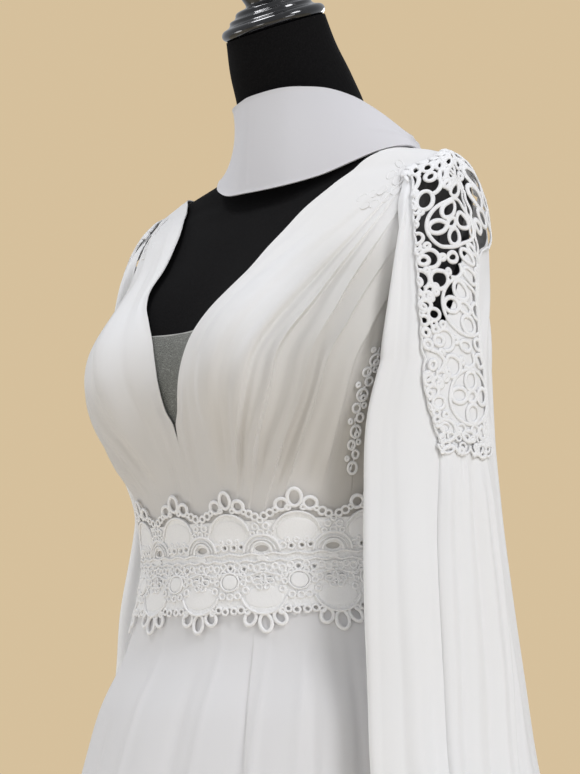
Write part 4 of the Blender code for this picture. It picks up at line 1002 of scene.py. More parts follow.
def build_backs():
    shares = np.r_[np.linspace(0, 0.93, 82), np.linspace(0.938, 1.0, 10)]
    cols = np.r_[0.0, 0.03, 0.09, np.linspace(0.2, 8.8, 66), 8.9, 8.96, 9.0]
    angle, z = panel([table_line(row, shares) for row in BACK_LINES], cols)
    n = normal(torso, angle, z)
    for side, tag, seed in ((1, "left", 83), (-1, "right", 131)):
        relief = crease_relief(cols, shares, BACK_CREASES, seed)
        relief += edge_bead(cols - 0.03, 0.0004, 0.05)
        relief += edge_bead(1.0 - shares, 0.0004, 0.010)[:, None]
        outer = torso(angle, z) + n * (stand_off(z) + CHIFFON + relief)[..., None]
        back = half_cloth(f"back_{tag}", side, outer, n, side > 0, chiffon, replaces=(f"bodice_back_{tag}",))
        declare("back")


def build_insert():
    z = np.linspace(INSERT_LOW_Z, INSERT_TOP_Z, 60)
    opening = column(V_EDGE, 1, z) + INSERT_TUCK
    across = np.linspace(-1, 1, 41)
    x = opening[:, None] * across
    rows = np.repeat(z[:, None], len(across), axis=1)

    def place(spots, height):
        angle = half_angle(np.abs(spots[..., 0]), spots[..., 1])
        angle = np.where(spots[..., 0] < 0, -180 - angle, angle)
        return on_form(angle, spots[..., 1], STAND_OFF - INSERT_LAP + height)

    outer = place(np.stack([x, rows], -1), 0.00025 * wander(x * 60 + rows * 20, 5, 1.0))
    insert = shell("tulle_insert", outer, SHOWN_TULLE, tulle, replaces=("bodice_insert",), slot="grey_tulle")
    edge = (*flat_line(np.linspace(-opening[-1], opening[-1], 60), INSERT_TOP_Z), 0.0010, -0.0009, 0.0003)
    binding = cords("tulle_binding", [edge], place, tulle_edge, sides=8, slot="grey_tulle")
    declare("insert", with_pieces=(binding,))


# The chain of rings down each side seam: across, up, radius, in metres, repeated
SIDE_RINGS = (
    (0.0005, 0.000, 0.0050), (0.0028, 0.0118, 0.0034), (-0.0024, 0.0192, 0.0036), (0.0046, 0.0222, 0.0020),
    (-0.0062, 0.0078, 0.0017), (0.0022, 0.0282, 0.0022),
)
SIDE_REPEAT = 0.0305
SIDE_LACE_FORWARD = 0.003


def build_side_lace(side, tag):
    def place(spots, height):
        z = spots[:, 1]
        angle = column(SIDE_SEAM, 1, z) + np.degrees((spots[:, 0] - SIDE_LACE_FORWARD) / SIDE_LACE_RADIUS)
        return mirrored(on_form(angle, z, stand_off(z) + CHIFFON + LAP + height), side)

    curves = []
    for k in range(4):
        for x, y, r in SIDE_RINGS:
            at = SIDE_LACE_LOW + 0.006 + k * SIDE_REPEAT + y
            if at + r < SIDE_LACE_HIGH:
                curves.append((*oval(x, at, r, r), 0.0013, 0.0, 0.0017))
    z = np.linspace(SIDE_LACE_LOW, SIDE_LACE_HIGH - 0.002, 110)
    curves.append((*flat_line(0.0016 * np.sin(z * 300), z), 0.0009 + 0.0005 * np.sin(z * 1400), 0.0, 0.0013))
    trim = cords(f"side_trim_{tag}", curves, place, guipure, replaces=(f"side_lace_{tag}",))
    declare("side_lace")


# Skirt

def falling_folds(z, folds):
    """For each row: its number, how far down each height is, the fold's middle there, the rest of the row."""
    down = np.clip((SKIRT_FOLDS_START - z) / (SKIRT_FOLDS_START - HEM_Z), 0, 1)
    for k, (waist, hem, *shape) in enumerate(folds):
        yield k, down, waist + (hem - waist) * down, shape


def skirt_relief(angle, z):
    total = np.zeros(angle.shape)
    for _, down, middle, (height, half) in falling_folds(z, SKIRT_FOLDS):
        off = (angle - middle + 180) % 360 - 180
        total += height * down**0.8 * np.exp(-(off / half) ** 2)
    for k, down, middle, (start, depth, half) in falling_folds(z, SKIRT_RIPPLES):
        off = (angle - (middle + 0.8 * wander(z, 300 + k, 0.20)) + 180) % 360 - 180
        grow = smooth((start + 0.04 - z) / 0.08) * (1.6 + 0.2 * down)
        total += depth * grow * np.exp(-(off / half) ** 2)
    return total


# Pleat edges that fall from under the waist lace: angle, start, depth, half width of the soft side, lean
SKIRT_PLEATS = (
    (-63.6, 0.992, 0.0036, 3.4, 5.4), (-131.0, 0.972, 0.0026, 4.0, -4.0), (-22.0, 0.968, 0.0024, 3.6, 2.0),
    (47.0, 0.975, 0.0030, 3.8, 2.5), (104.0, 0.966, 0.0026, 3.2, -2.0), (149.5, 0.974, 0.0030, 4.2, 3.0),
)
PLEAT_EDGE = 0.35
PLEAT_COLUMNS = (-0.90, -0.60, -0.38, -0.18, 0.0, 0.30)
# Rows of the skirt over its rolled hem
HEM_ROWS = (0.038, 0.030, 0.026, 0.023, HEM_Z)


def pleat_relief(angle, z):
    total = np.zeros(angle.shape)
    for at, start, depth, soft, _ in SKIRT_PLEATS:
        off = angle - at
        lip = np.exp(-(off / np.where(off < 0, PLEAT_EDGE, soft)) ** 2)
        total += depth * smooth((start - z) / 0.035) * (0.75 + 0.25 * wander(z, 700 + int(at), 0.12)) * lip
    return total


def build_skirt():
    heights = np.r_[np.linspace(WAIST_Z - FIT, 0.90, 34), np.linspace(0.895, 0.05, 62), HEM_ROWS]
    for tag, start in (("front", -180.0), ("back", 0.0)):
        angles = start + np.r_[0.10, np.linspace(0.6, 179.4, 168), 179.90]
        for at in (row[0] for row in SKIRT_PLEATS if start < row[0] < start + 180):
            angles = angles[(angles < at - 1.2) | (angles > at + 0.6)]
            angles = np.sort(np.r_[angles, at + np.array(PLEAT_COLUMNS)])
        straight, z = np.meshgrid(angles, heights)
        # The columns lean with the pleats, so that each edge runs along one of them
        angle = straight.copy()
        for at, _, _, _, lean in SKIRT_PLEATS:
            angle += lean * smooth((0.980 - z) / 0.16) * np.exp(-((straight - at) / 9.0) ** 2)
        n = unit(normal(dress, angle, z) * np.array([1.0, 1.0, 0.0]))
        relief = skirt_relief(angle, z) + pleat_relief(straight, z)
        relief += edge_bead(z - HEM_Z - 0.003, 0.0006, 0.004) - edge_bead(z - HEM_Z - 0.016, 0.0004, 0.0015)
        outer = dress(angle, z) + n * relief[..., None]
        panel_piece = shell(f"skirt_{tag}_panel", outer[::-1], SHOWN_CLOTH, shaded_skirt_chiffon, normals=n[::-1],
                            replaces=(f"skirt_{tag}",))
        declare(f"skirt_{tag}")


# Waist lace, charted in mm for one repeat of 60.5: x across from the top fan, y up from the middle

WAIST_RUN_Z = 1.0440
# Fan loops: x, y, half width, half height, turn
FAN_LOOPS = (
    (0.0, 54.0, 5.2, 7.2, 0), (-11.4, 48.4, 5.2, 5.0, 20), (11.4, 48.4, 5.2, 5.0, -20),
    (30.25, -53.6, 5.2, 8.0, 0), (18.4, -49.4, 4.8, 6.2, -26), (42.1, -49.4, 4.8, 6.2, 26),
)
# Small rings, each alone or as a pair: middle of the pair, distance from it, y, radius
SMALL_RINGS = (
    (0.0, 20.8, 41.4, 3.0), (0.0, 26.2, 39.0, 2.8), (30.25, 0.0, 35.0, 2.6), (0.0, 6.0, 45.2, 2.0),
    (0.0, 16.6, 43.8, 2.0), (30.25, 4.85, 30.2, 2.6), (30.25, 0.0, 24.8, 2.8), (30.25, 7.65, 24.0, 2.0),
    (0.0, 4.6, 12.0, 3.0), (0.0, 11.6, 12.4, 2.9), (0.0, 0.0, 16.4, 2.0), (0.0, 8.2, 17.0, 1.7),
    (0.0, 0.0, -6.6, 3.0), (0.0, 6.8, -5.2, 2.8), (0.0, 6.4, -11.0, 2.4), (0.0, 13.2, -7.4, 3.0),
    (0.0, 19.4, -5.8, 2.6), (0.0, 25.0, -7.2, 2.9), (30.25, 0.0, -5.6, 2.6), (0.0, 12.0, -13.2, 2.2),
    (0.0, 17.2, -16.4, 2.6), (0.0, 12.4, -19.4, 2.3), (0.0, 14.6, -26.0, 2.5), (0.0, 4.2, -43.6, 2.7),
    (0.0, 10.6, -42.6, 2.7), (0.0, 16.2, -44.4, 2.3), (0.0, 0.0, -31.2, 2.9), (0.0, 6.8, -30.4, 2.6),
)
# Arcs: centre, radius, first and last angle, half width of the cord in mm
WAIST_ARCS = (
    (0.0, 21.5, 20.0, 12, 168, 1.05), (30.25, 6.4, 16.4, 2, 178, 1.25), (30.25, 7.6, 8.8, -4, 184, 1.25),
    (30.25, -26.5, 19.8, 196, 344, 1.05), (30.25, 6.4, 12.6, 8, 172, 0.7),
)
# Beaded lines right across the repeat: height, wave height, waves, half width, beads
WAIST_LINES = (
    (5.2, 0.9, 3, 1.5, 20), (-0.8, 0.8, 4, 1.4, 18), (-12.2, 1.6, 2, 1.3, 17),
)
# Gaps cut through the ground: x, y, half width, half height
WAIST_HOLES = (
    (30.25, 10.4, 6.0, 2.9), (-4.6, 12.0, 1.5, 1.5), (4.6, 12.0, 1.5, 1.5), (11.6, 12.4, 1.4, 1.4),
    (0.0, -6.6, 1.5, 1.5), (13.2, -7.4, 1.4, 1.4), (35.6, -15.0, 2.0, 1.0), (24.9, -15.0, 2.0, 1.0),
    (30.25, -23.0, 1.2, 1.6), (26.4, -19.6, 1.6, 0.9), (34.1, -19.6, 1.6, 0.9),
)
# Raised domes of thread: x, y, half width, half height, how high they stand in mm
WAIST_DOMES = (
    (0.0, 24.6, 16.8, 11.6, 1.2), (30.25, -31.6, 16.6, 9.6, 1.2), (0.0, -18.6, 7.4, 6.6, 2.4),
    (30.25, 1.6, 5.2, 2.4, 2.3),
)
# A small flower on each lower dome: x, y, half width, half height, turn
WAIST_FLOWER = (
    (30.25, -15.4, 2.2, 3.2, 0), (24.6, -18.4, 3.6, 2.4, 12), (35.9, -18.4, 3.6, 2.4, -12),
    (26.8, -23.2, 2.9, 2.1, -40), (33.7, -23.2, 2.9, 2.1, 40), (30.25, -19.6, 1.5, 1.5, 0),
)
# The drop round the dome under each top fan: x, y, half width, half height
WAIST_DROP = (0.0, -18.6, 8.6, 7.8)
WAIST_SEED = 21


def fan_edge(off, middle, radius, least):
    """Distance of a scalloped edge: fans round a middle, and a straight run between them."""
    return np.maximum(middle + np.sqrt(np.clip(radius**2 - off**2, 0, None)), least)


def build_waist_lace():
    angle = np.linspace(-180, 180, 721)
    run = run_along(dress(angle, np.full(721, WAIST_RUN_Z)))
    repeat = run[-1] / WAIST_REPEATS

    def place(spots, height):
        at = np.interp((spots[:, 0] + WAIST_LACE_TURN * repeat) % run[-1], run, angle)
        front = np.clip(-np.sin(np.radians(at)), 0, 1)
        z = WAIST_LACE_Z - WAIST_LACE_DIP * front + spots[:, 1]
        lift = LACE_LAP + height + 0.0014 * smooth((z - 1.084) / 0.022)
        over_bodice = on_form(at, z, STAND_OFF + CHIFFON + lift)
        over_skirt = dress(at, z) + normal(dress, at, z) * lift[:, None]
        share = smooth((z - WAIST_Z + 0.010) / 0.020)[:, None]
        return over_skirt * (1 - share) + over_bodice * share

    # Ground of one repeat, from a quarter before the top fan to three quarters after
    first, last = -repeat / 4 / MM, repeat * 0.75 / MM
    xs = np.linspace(first, last, 45)
    top = fan_edge(np.minimum(np.abs(xs), np.abs(xs - repeat / MM)), 21.5, 20.6, 35.2)
    low = -fan_edge(np.abs(xs - repeat / 2 / MM), 26.5, 20.4, 40.8)
    sides = np.linspace(low[0], top[0], 26)[1:-1]
    outline = [*zip(xs, low), *((last, y) for y in sides)]
    outline += [*zip(xs[::-1], top[::-1]), *((first, y) for y in sides[::-1])]
    gaps = [[tuple(p) for p in oval(*hole, step=1.0)[0]] for hole in WAIST_HOLES]
    spots, faces = flat_net([(float(x), float(y)) for x, y in outline], gaps, 3.4)
    keys, all_spots, all_faces = {}, [], []
    total = repeat * WAIST_REPEATS / MM
    for k in range(WAIST_REPEATS):
        names = []
        for x, y in spots:
            at = (k + 0.5) * repeat / MM + x
            key = (round((at % total) * 50) % round(total * 50), round(y * 50))
            if key not in keys:
                keys[key] = len(all_spots)
                all_spots.append((at, y))
            names.append(keys[key])
        all_faces += [tuple(names[i] for i in f) for f in faces]
    ground = plate("waist_lace_ground", np.array(all_spots) * MM, all_faces, -0.0015, 0.0007, place,
                   guipure_net, replaces=("waist_lace_front", "waist_lace_back"), slot="white_guipure")

    trims = []
    rng = np.random.default_rng(WAIST_SEED)
    for tag, begin in (("front", 0), ("back", WAIST_REPEATS // 2)):
        curves, shapes = [], []
        for k in range(begin, begin + WAIST_REPEATS // 2):
            middle = np.array([(k + 0.5) * repeat / MM, 0.0])

            def add(line, half, low=0.0004, high=0.0021):
                curves.append(((line[0] + middle) * MM, line[1], half * MM, low, high))

            for x, y, rx, ry, turn in FAN_LOOPS:
                rx, ry = rx * rng.uniform(0.93, 1.07), ry * rng.uniform(0.95, 1.05)
                turn, x = turn + rng.uniform(-6, 6), x + rng.uniform(-0.4, 0.4)
                add(oval(x, y, rx, ry, turn, step=1.5), 1.7, -0.0008, 0.0018)
            for axis, off, y, radius in SMALL_RINGS:
                for x in sorted({axis - off, axis + off}):
                    r = radius * rng.uniform(0.92, 1.08)
                    add(oval(x + rng.uniform(-0.3, 0.3), y + rng.uniform(-0.3, 0.3), r, r, step=1.6), 1.15)
            for *shape, half in WAIST_ARCS:
                add(arc(*shape, step=1.5), half, 0.0005, 0.0025)
            across = np.linspace(-0.5, 0.5, 57)
            for y, high, waves, half, beads in WAIST_LINES:
                swell = 0.74 + 0.26 * np.cos(2 * math.pi * beads * across)
                line = flat_line(across * repeat / MM, y + high * np.cos(2 * math.pi * waves * across))
                add(line, half * swell, 0.0005, 0.0026)
            for petal in WAIST_FLOWER:
                add(oval(*petal, step=1.3), 0.95, 0.0004, 0.0024)
            add(oval(*WAIST_DROP, step=1.5), 1.0, 0.0006, 0.0028)
            for *shape, rise in WAIST_DOMES:
                shapes.append(((oval(*shape, step=1.5)[0] + middle) * MM, 0.0004, rise * MM))
        trims.append(cords(f"waist_cords_{tag}", curves, place, guipure))
        trims.append(pads(f"waist_medallions_{tag}", shapes, place, guipure_satin))
    declare("waist_lace", with_pieces=trims)


# Sleeves

def sleeve_section(side, share, z):
    turn = 2 * math.pi * share
    centre_y = column(SLEEVE, 2 if side > 0 else 3, z)
    thick, wide = column(SLEEVE, 4, z), column(SLEEVE, 5, z)
    lean = np.radians(column(SLEEVE, 6, z))
    out, along = thick * np.cos(turn), -wide * np.sin(turn)
    x = column(SLEEVE, 1, z) + out * np.cos(lean) + along * np.sin(lean)
    y = centre_y - out * np.sin(lean) + along * np.cos(lean)
    return np.stack([x, y, z], -1)


# How far the crown of the shown sleeve sinks onto the shoulder, at its seam and just below
SEAT_AT_SEAM = 0.0028
SEAT_BELOW = 0.0062


def sleeve(side, share, way):
    """A point of the sleeve: share round it from the outside, way 0 to 1 over the cap, then metres down."""
    share, way = np.broadcast_arrays(np.asarray(share, float), np.asarray(way, float))
    angle, z = armhole(share)
    start_normal = normal(torso, angle, z)
    start = torso(angle, z) + start_normal * (stand_off(z) + CHIFFON + SLEEVE_LAP)[..., None]
    end = sleeve_section(side, share, np.full(share.shape, CAP_Z))
    high = 0.5 + 0.5 * np.cos(2 * math.pi * share)
    reach = CAP_REACH_UNDERARM + (CAP_REACH_TOP - CAP_REACH_UNDERARM) * high
    drop = CAP_DROP_UNDERARM + (CAP_DROP_TOP - CAP_DROP_UNDERARM) * high
    lead = unit(start_normal * 0.55 + np.array([0.75, 0.0, 0.05])) * reach[..., None]
    fall = drop[..., None] * np.array([0.0, 0.0, -1.0])
    t = np.clip(way, 0, 1)[..., None]
    cap = ((2 * t**3 - 3 * t**2 + 1) * start + (t**3 - 2 * t**2 + t) * lead
           + (3 * t**2 - 2 * t**3) * end + (t**3 - t**2) * fall)
    away = np.abs((share + 0.5) % 1.0 - 0.5)
    seat = SEAT_AT_SEAM + (SEAT_BELOW - SEAT_AT_SEAM) * smooth(way / 0.06)
    seat = seat * (1 - smooth((way - 0.12) / 0.34)) * (1 - smooth((away - 0.13) / 0.12))
    cap = cap - (start_normal * 0.4 + np.array([0.0, 0.0, 0.6])) * seat[..., None]
    hanging = sleeve_section(side, share, np.clip(CAP_Z - (way - 1), CUFF_Z - 0.01, CAP_Z))
    return np.where(way[..., None] < 1, cap, hanging)


def sleeve_normal(side, share, way):
    along_share = sleeve(side, share + 0.003, way) - sleeve(side, share - 0.003, way)
    along_way = sleeve(side, share, way + 0.004) - sleeve(side, share, np.maximum(way - 0.004, 0))
    return unit(np.cross(along_share, along_way))


# Sleeve folds: share round the sleeve at the cap and at the cuff, where it starts, depth, half width
SLEEVE_FOLDS = (
    (0.178, 0.15, 0.1, -0.003, 0.018), (0.222, 0.23, 0.05, 0.0036, 0.026),
    (0.268, 0.292, 0.12, -0.0036, 0.02), (0.318, 0.35, 0.2, 0.003, 0.03), (0.385, 0.41, 0.4, -0.0024, 0.026),
    (0.118, 0.1, 1.05, 0.0026, 0.022), (-0.14, -0.122, 0.4, 0.0026, 0.018),
    (-0.178, -0.18, 0.15, -0.0032, 0.022), (-0.226, -0.245, 0.1, 0.0036, 0.028),
    (-0.285, -0.312, 0.2, -0.0032, 0.022), (-0.345, -0.375, 0.35, 0.0028, 0.03),
    (-0.425, -0.44, 0.6, -0.002, 0.024),
)
SLEEVE_UNEVEN = 0.0030


def sleeve_relief(side, share, way):
    uneven_seed, fold_seed = (64, 400) if side > 0 else (65, 409)
    drift = 0.012 * wander(way, 61, 0.22)
    total = SLEEVE_UNEVEN * smooth((way - 0.95) / 0.45) * wander(share + drift, uneven_seed, 0.046)
    for k, (cap, cuff, start, depth, half) in enumerate(SLEEVE_FOLDS):
        middle = cap + (cuff - cap) * smooth(way / 1.42) + 0.006 * wander(way, fold_seed + k, 0.25)
        window = smooth((way - start) / 0.35)
        wider = half * (1 + 0.5 * smooth((way - 1.0) / 0.4))
        total = total + depth * window * np.exp(-((share - middle) / wider) ** 2)
    return total


def across_sheet(first, last, across, ways):
    """A grid of shares between two edges, and the way of each of its points."""
    share = first[:, None] + (last - first)[:, None] * across
    return share, np.repeat(ways[:, None], len(across), axis=1)


def sleeve_shell(name, side, share, way, lift, flip, **extra):
    n = sleeve_normal(side, share, way)
    outer = sleeve(side, share, way) + n * (lift + CHIFFON)[..., None]
    return half_cloth(name, side, outer, n, flip, sleeve_chiffon, **extra)


# Rows of a sleeve over the rolled hem of its cuff, above the cuff's edge
CUFF_ROWS = np.array([0.008, 0.005, 0.0025, 0.0])
# Folds of the gathered part of the sleeve: place across at the gathers and at the cuff, depth, half width
LOWER_FOLDS = (
    (0.13, 0.11, 0.0038, 0.075), (0.33, 0.25, 0.005, 0.085), (0.47, 0.43, -0.0016, 0.045),
    (0.58, 0.6, 0.0036, 0.095), (0.72, 0.74, -0.0012, 0.04), (0.82, 0.85, 0.004, 0.08),
)
# Columns of that part beside its edges, the same from both
LOWER_COLUMNS = np.array([0, 0.018, 0.036, 0.054, 0.062, 0.070])


def build_sleeve(side, tag):
    hang = CAP_Z - CUFF_Z
    cuff = 1 + hang
    tucked = LACE_TUCK / 2

    def hem(way):
        return edge_bead(way - (cuff - 0.002), 0.0005, 0.003)

    ways = np.r_[np.linspace(0, 1, 48), 1 + np.linspace(0, hang - 0.012, 60)[1:], cuff - CUFF_ROWS]
    for part, turns, index in (("front", 1, 1), ("back", -1, 2)):
        first = column(LACE_EDGES, index, ways) - turns * tucked
        across = np.linspace(0, 1, 76)
        share, way = across_sheet(first, turns * (0.5 - UNDERARM_GAP), across, ways)
        window = smooth(across / 0.06) * smooth((1 - across) / 0.05)
        lift = sleeve_relief(side, share, way) * window * smooth(way / 0.10)
        lift = np.maximum(lift, -0.0012 * smooth((way - 0.20) / 0.25)) + hem(way)
        cloth = sleeve_shell(f"sleeve_{part}_cloth_{tag}", side, share, way, lift, (side > 0) == (turns > 0),
                             replaces=(f"sleeve_{part}_{tag}",))
        declare(f"sleeve_{part}")

    # The gathered part under the strip
    start = 1 + CAP_Z - LOWER_TOP_Z
    lower = np.r_[start, start + 0.0015, start + 0.003, np.linspace(start + 0.006, cuff - 0.012, 66),
                  cuff - CUFF_ROWS]
    front = column(LACE_EDGES, 1, lower) - tucked + UNDERLAP
    back = column(LACE_EDGES, 2, lower) + tucked - UNDERLAP
    across = np.r_[LOWER_COLUMNS, np.linspace(0.082, 0.918, 72), (1 - LOWER_COLUMNS)[::-1]]
    share, way = across_sheet(back, front, across, lower)
    down = way - start
    lift = np.zeros(way.shape)
    for middle, end, depth, half in LOWER_FOLDS:
        at = middle + (end - middle) * smooth(down / 0.35)
        lift = lift + depth * np.exp(-((across - at) / half) ** 2)
    gather = (0.5 + 0.5 * wander(across, 77, 0.055)) * np.exp(-((down - 0.020) / 0.045) ** 2) * 0.0018
    lift = lift * smooth((down - 0.008) / 0.06) + gather + hem(way)
    lift = lift * smooth((across - 0.06) / 0.05) * smooth((0.94 - across) / 0.05)
    under = np.maximum(smooth((share - front[:, None] + UNDERLAP + 0.004) / 0.004),
                       smooth((back[:, None] + UNDERLAP + 0.004 - share) / 0.004))
    cloth = sleeve_shell(f"sleeve_lower_cloth_{tag}", side, share, way, lift - 0.0017 * under, side > 0,
                         replaces=(f"sleeve_lower_{tag}",))
    declare("sleeve_lower")
    build_sleeve_lace(side, tag)


# Sleeve lace, charted in mm: x across to the back, y down from a flower's middle, half width and half
# height of an oval, and its turn if it has one; an arc has a radius and the pair of its first and last angles
FLOWER = (
    (1.4, -0.6, 5.0, 5.0), (-0.6, -15.0, 6.8, 8.2, 4), (-13.0, -0.8, 8.2, 6.6), (15.0, -2.2, 6.4, 7.2),
    (3.2, 14.0, 7.0, 8.2),
)
FLOWER_RING = (0.4, -0.5, 23.0, 24.4)
BETWEEN = (
    (-25.4, 31.0, 9.4, (-145, 110)), (-31.6, 32.0, 4.8, 4.6), (-2.6, 34.0, 6.0, 4.8), (13.6, 30.0, 4.6, 5.2),
    (-4.6, 43.0, 10.4, (-20, 115)), (-21.2, 53.4, 8.4, 9.4), (-40.6, 51.0, 10.0, (-100, 75)),
    (-42.0, 53.4, 3.4, 4.0), (12.8, 45.8, 5.4, 5.8), (-36.2, 68.4, 4.4, 4.0), (-39.4, 77.4, 5.6, 5.2),
    (-13.4, 31.0, 2.4, 2.6), (-33.4, 22.0, 3.0, 3.0), (-31.0, 42.8, 2.2, 2.4), (-10.8, 47.6, 2.2, 2.6),
    (20.2, 38.0, 2.4, 3.0), (18.8, 20.6, 2.4, 3.2), (-27.6, 64.8, 2.6, 2.4), (-43.4, 35.8, 4.2, 4.2),
    (-43.6, 24.6, 3.6, 3.8), (-45.6, 64.6, 3.4, 3.8),
)
TOP_START = (
    (-36.0, -58.0, 10.6, (-105, 105)), (-39.4, -58.0, 4.0, 4.6), (-15.4, -56.4, 4.6, 4.8),
    (-16.4, -46.8, 10.6, (-35, 80)), (-21.4, -31.4, 7.4, 10.2), (-3.6, -55.4, 3.2, 5.8),
    (5.0, -52.4, 4.4, 7.2), (8.0, -32.4, 6.4, 6.8), (9.6, -30.4, 12.2, (-150, -15)), (29.8, -35.4, 4.8, 8.0),
    (30.6, -54.0, 6.4, 8.6), (41.4, -46.0, 4.2, 6.4), (42.4, -62.0, 4.2, 7.0), (34.0, -21.4, 5.6, 6.8),
    (28.2, -7.6, 3.0, 4.8), (-5.0, -66.0, 4.0, 4.4), (4.6, -65.0, 4.4, 4.6), (18.6, -59.0, 5.0, 5.4),
    (-16.0, -68.4, 4.6, 4.6), (13.0, -69.0, 4.0, 4.2), (-26.4, -70.4, 4.6, 4.6), (23.0, -71.0, 4.6, 4.6),
    (33.4, -71.6, 4.6, 5.0), (-36.0, -74.4, 4.2, 3.4), (-5.0, -75.6, 4.2, 3.6), (5.4, -75.0, 4.4, 3.6),
    (43.6, -75.0, 4.6, 4.4), (19.4, -46.0, 3.2, 3.8), (-0.6, -43.0, 2.8, 3.4), (-30.6, -43.6, 2.8, 3.0),
    (52.6, -68.0, 4.0, 6.4), (50.4, -52.6, 3.6, 5.6), (44.6, -32.4, 3.4, 5.4), (-33.6, -30.4, 3.4, 4.2),
    (-16.6, -77.6, 3.8, 3.0), (15.6, -77.6, 3.8, 3.0),
)
# Rings beside each flower, towards the front: x, y, radius
LEFT_EDGE = (
    (-32.4, -16.4, 4.2), (-33.2, -8.6, 3.0), (-32.8, 7.4, 5.6), (-34.2, 16.2, 2.8), (-26.2, -19.6, 2.4),
    (-25.4, 17.4, 2.6), (-43.8, -11.4, 4.6), (-43.4, 1.2, 4.0), (-43.6, 13.0, 4.6),
)
# The double cord: way down from the first flower, how far to the back of the flowers' line it runs
BESIDE = np.array([
    (-90.0, -2.0), (-60.0, 2.0), (-48.0, 8.0), (-40.5, 14.5), (-30.5, 22.0), (-14.5, 23.8), (400.0, 23.0),
])
# Rings over each scallop of the strip's end: x, y from the end, radius, half width, cut off at the edges?
SCALLOP_RINGS = (
    (0.0, 1.4, 3.0, 1.2, False), (-4.0, -5.4, 2.6, 1.1, True), (4.0, -6.4, 3.2, 1.2, True),
    (-1.0, -13.5, 4.2, 1.4, True),
)
SCALLOPS = 4
# Close petals of thread at the strip's start: x, y, half sizes in mm
START_PADS = (
    (-38.0, -79.0, 5.2, 3.2), (-27.0, -78.4, 5.4, 3.6), (-16.0, -80.0, 5.4, 3.2), (-5.4, -78.6, 5.0, 3.6),
    (5.0, -79.6, 5.2, 3.4), (15.4, -78.6, 5.2, 3.6), (26.0, -79.4, 5.4, 3.4), (36.4, -78.6, 5.0, 3.8),
    (46.0, -79.0, 5.2, 3.4), (-32.4, -71.6, 4.0, 3.4), (-20.8, -72.4, 3.6, 3.2), (-10.4, -71.6, 3.6, 3.4),
    (-0.2, -70.4, 3.4, 3.4), (8.6, -72.0, 3.4, 3.2), (18.0, -72.6, 3.4, 3.2), (28.4, -73.0, 3.6, 3.2),
    (38.4, -71.6, 3.6, 3.6), (47.4, -70.8, 3.6, 3.6), (54.0, -74.8, 4.4, 3.6), (-42.0, -71.0, 3.6, 4.0),
    (-25.4, -63.4, 3.0, 2.8), (11.6, -61.6, 3.0, 3.2), (25.6, -63.4, 3.0, 3.0), (37.0, -61.4, 2.8, 3.4),
)
# Petals of lace sewn on over the shoulder beside the strip: angle round the form, height, half sizes, turn
SHOULDER_PETALS = (
    (-34.0, 1.39, 4.4, 5.6, -30), (-36.0, 1.38, 4.0, 5.4, 20), (-34.6, 1.369, 4.2, 5.2, 60),
    (-37.4, 1.3625, 3.6, 5.0, 10), (-40.6, 1.356, 3.8, 5.0, 75), (-44.2, 1.355, 3.4, 4.6, 100),
    (-40.4, 1.37, 3.8, 5.0, -20), (-47.0, 1.363, 3.4, 4.6, 130), (-43.6, 1.3665, 3.2, 4.2, 45),
    (-39.0, 1.386, 3.8, 5.0, -50), (-35.4, 1.3985, 4.0, 5.0, 15),
)
SHOULDER_RADIUS = 0.150
LINING_RISE = 0.0036
LINING_INSET = 0.008
# Upper edge of the lining under the strip: way down and across to the back from the first flower, in mm
LINING = np.array([
    (6.0, 40.0), (12.0, 30.0), (20.0, 20.0), (34.0, 10.0), (55.0, 1.0), (76.0, -10.0), (94.0, -22.0),
    (110.0, -50.0), (143.0, -60.0), (201.0, -60.0),
])


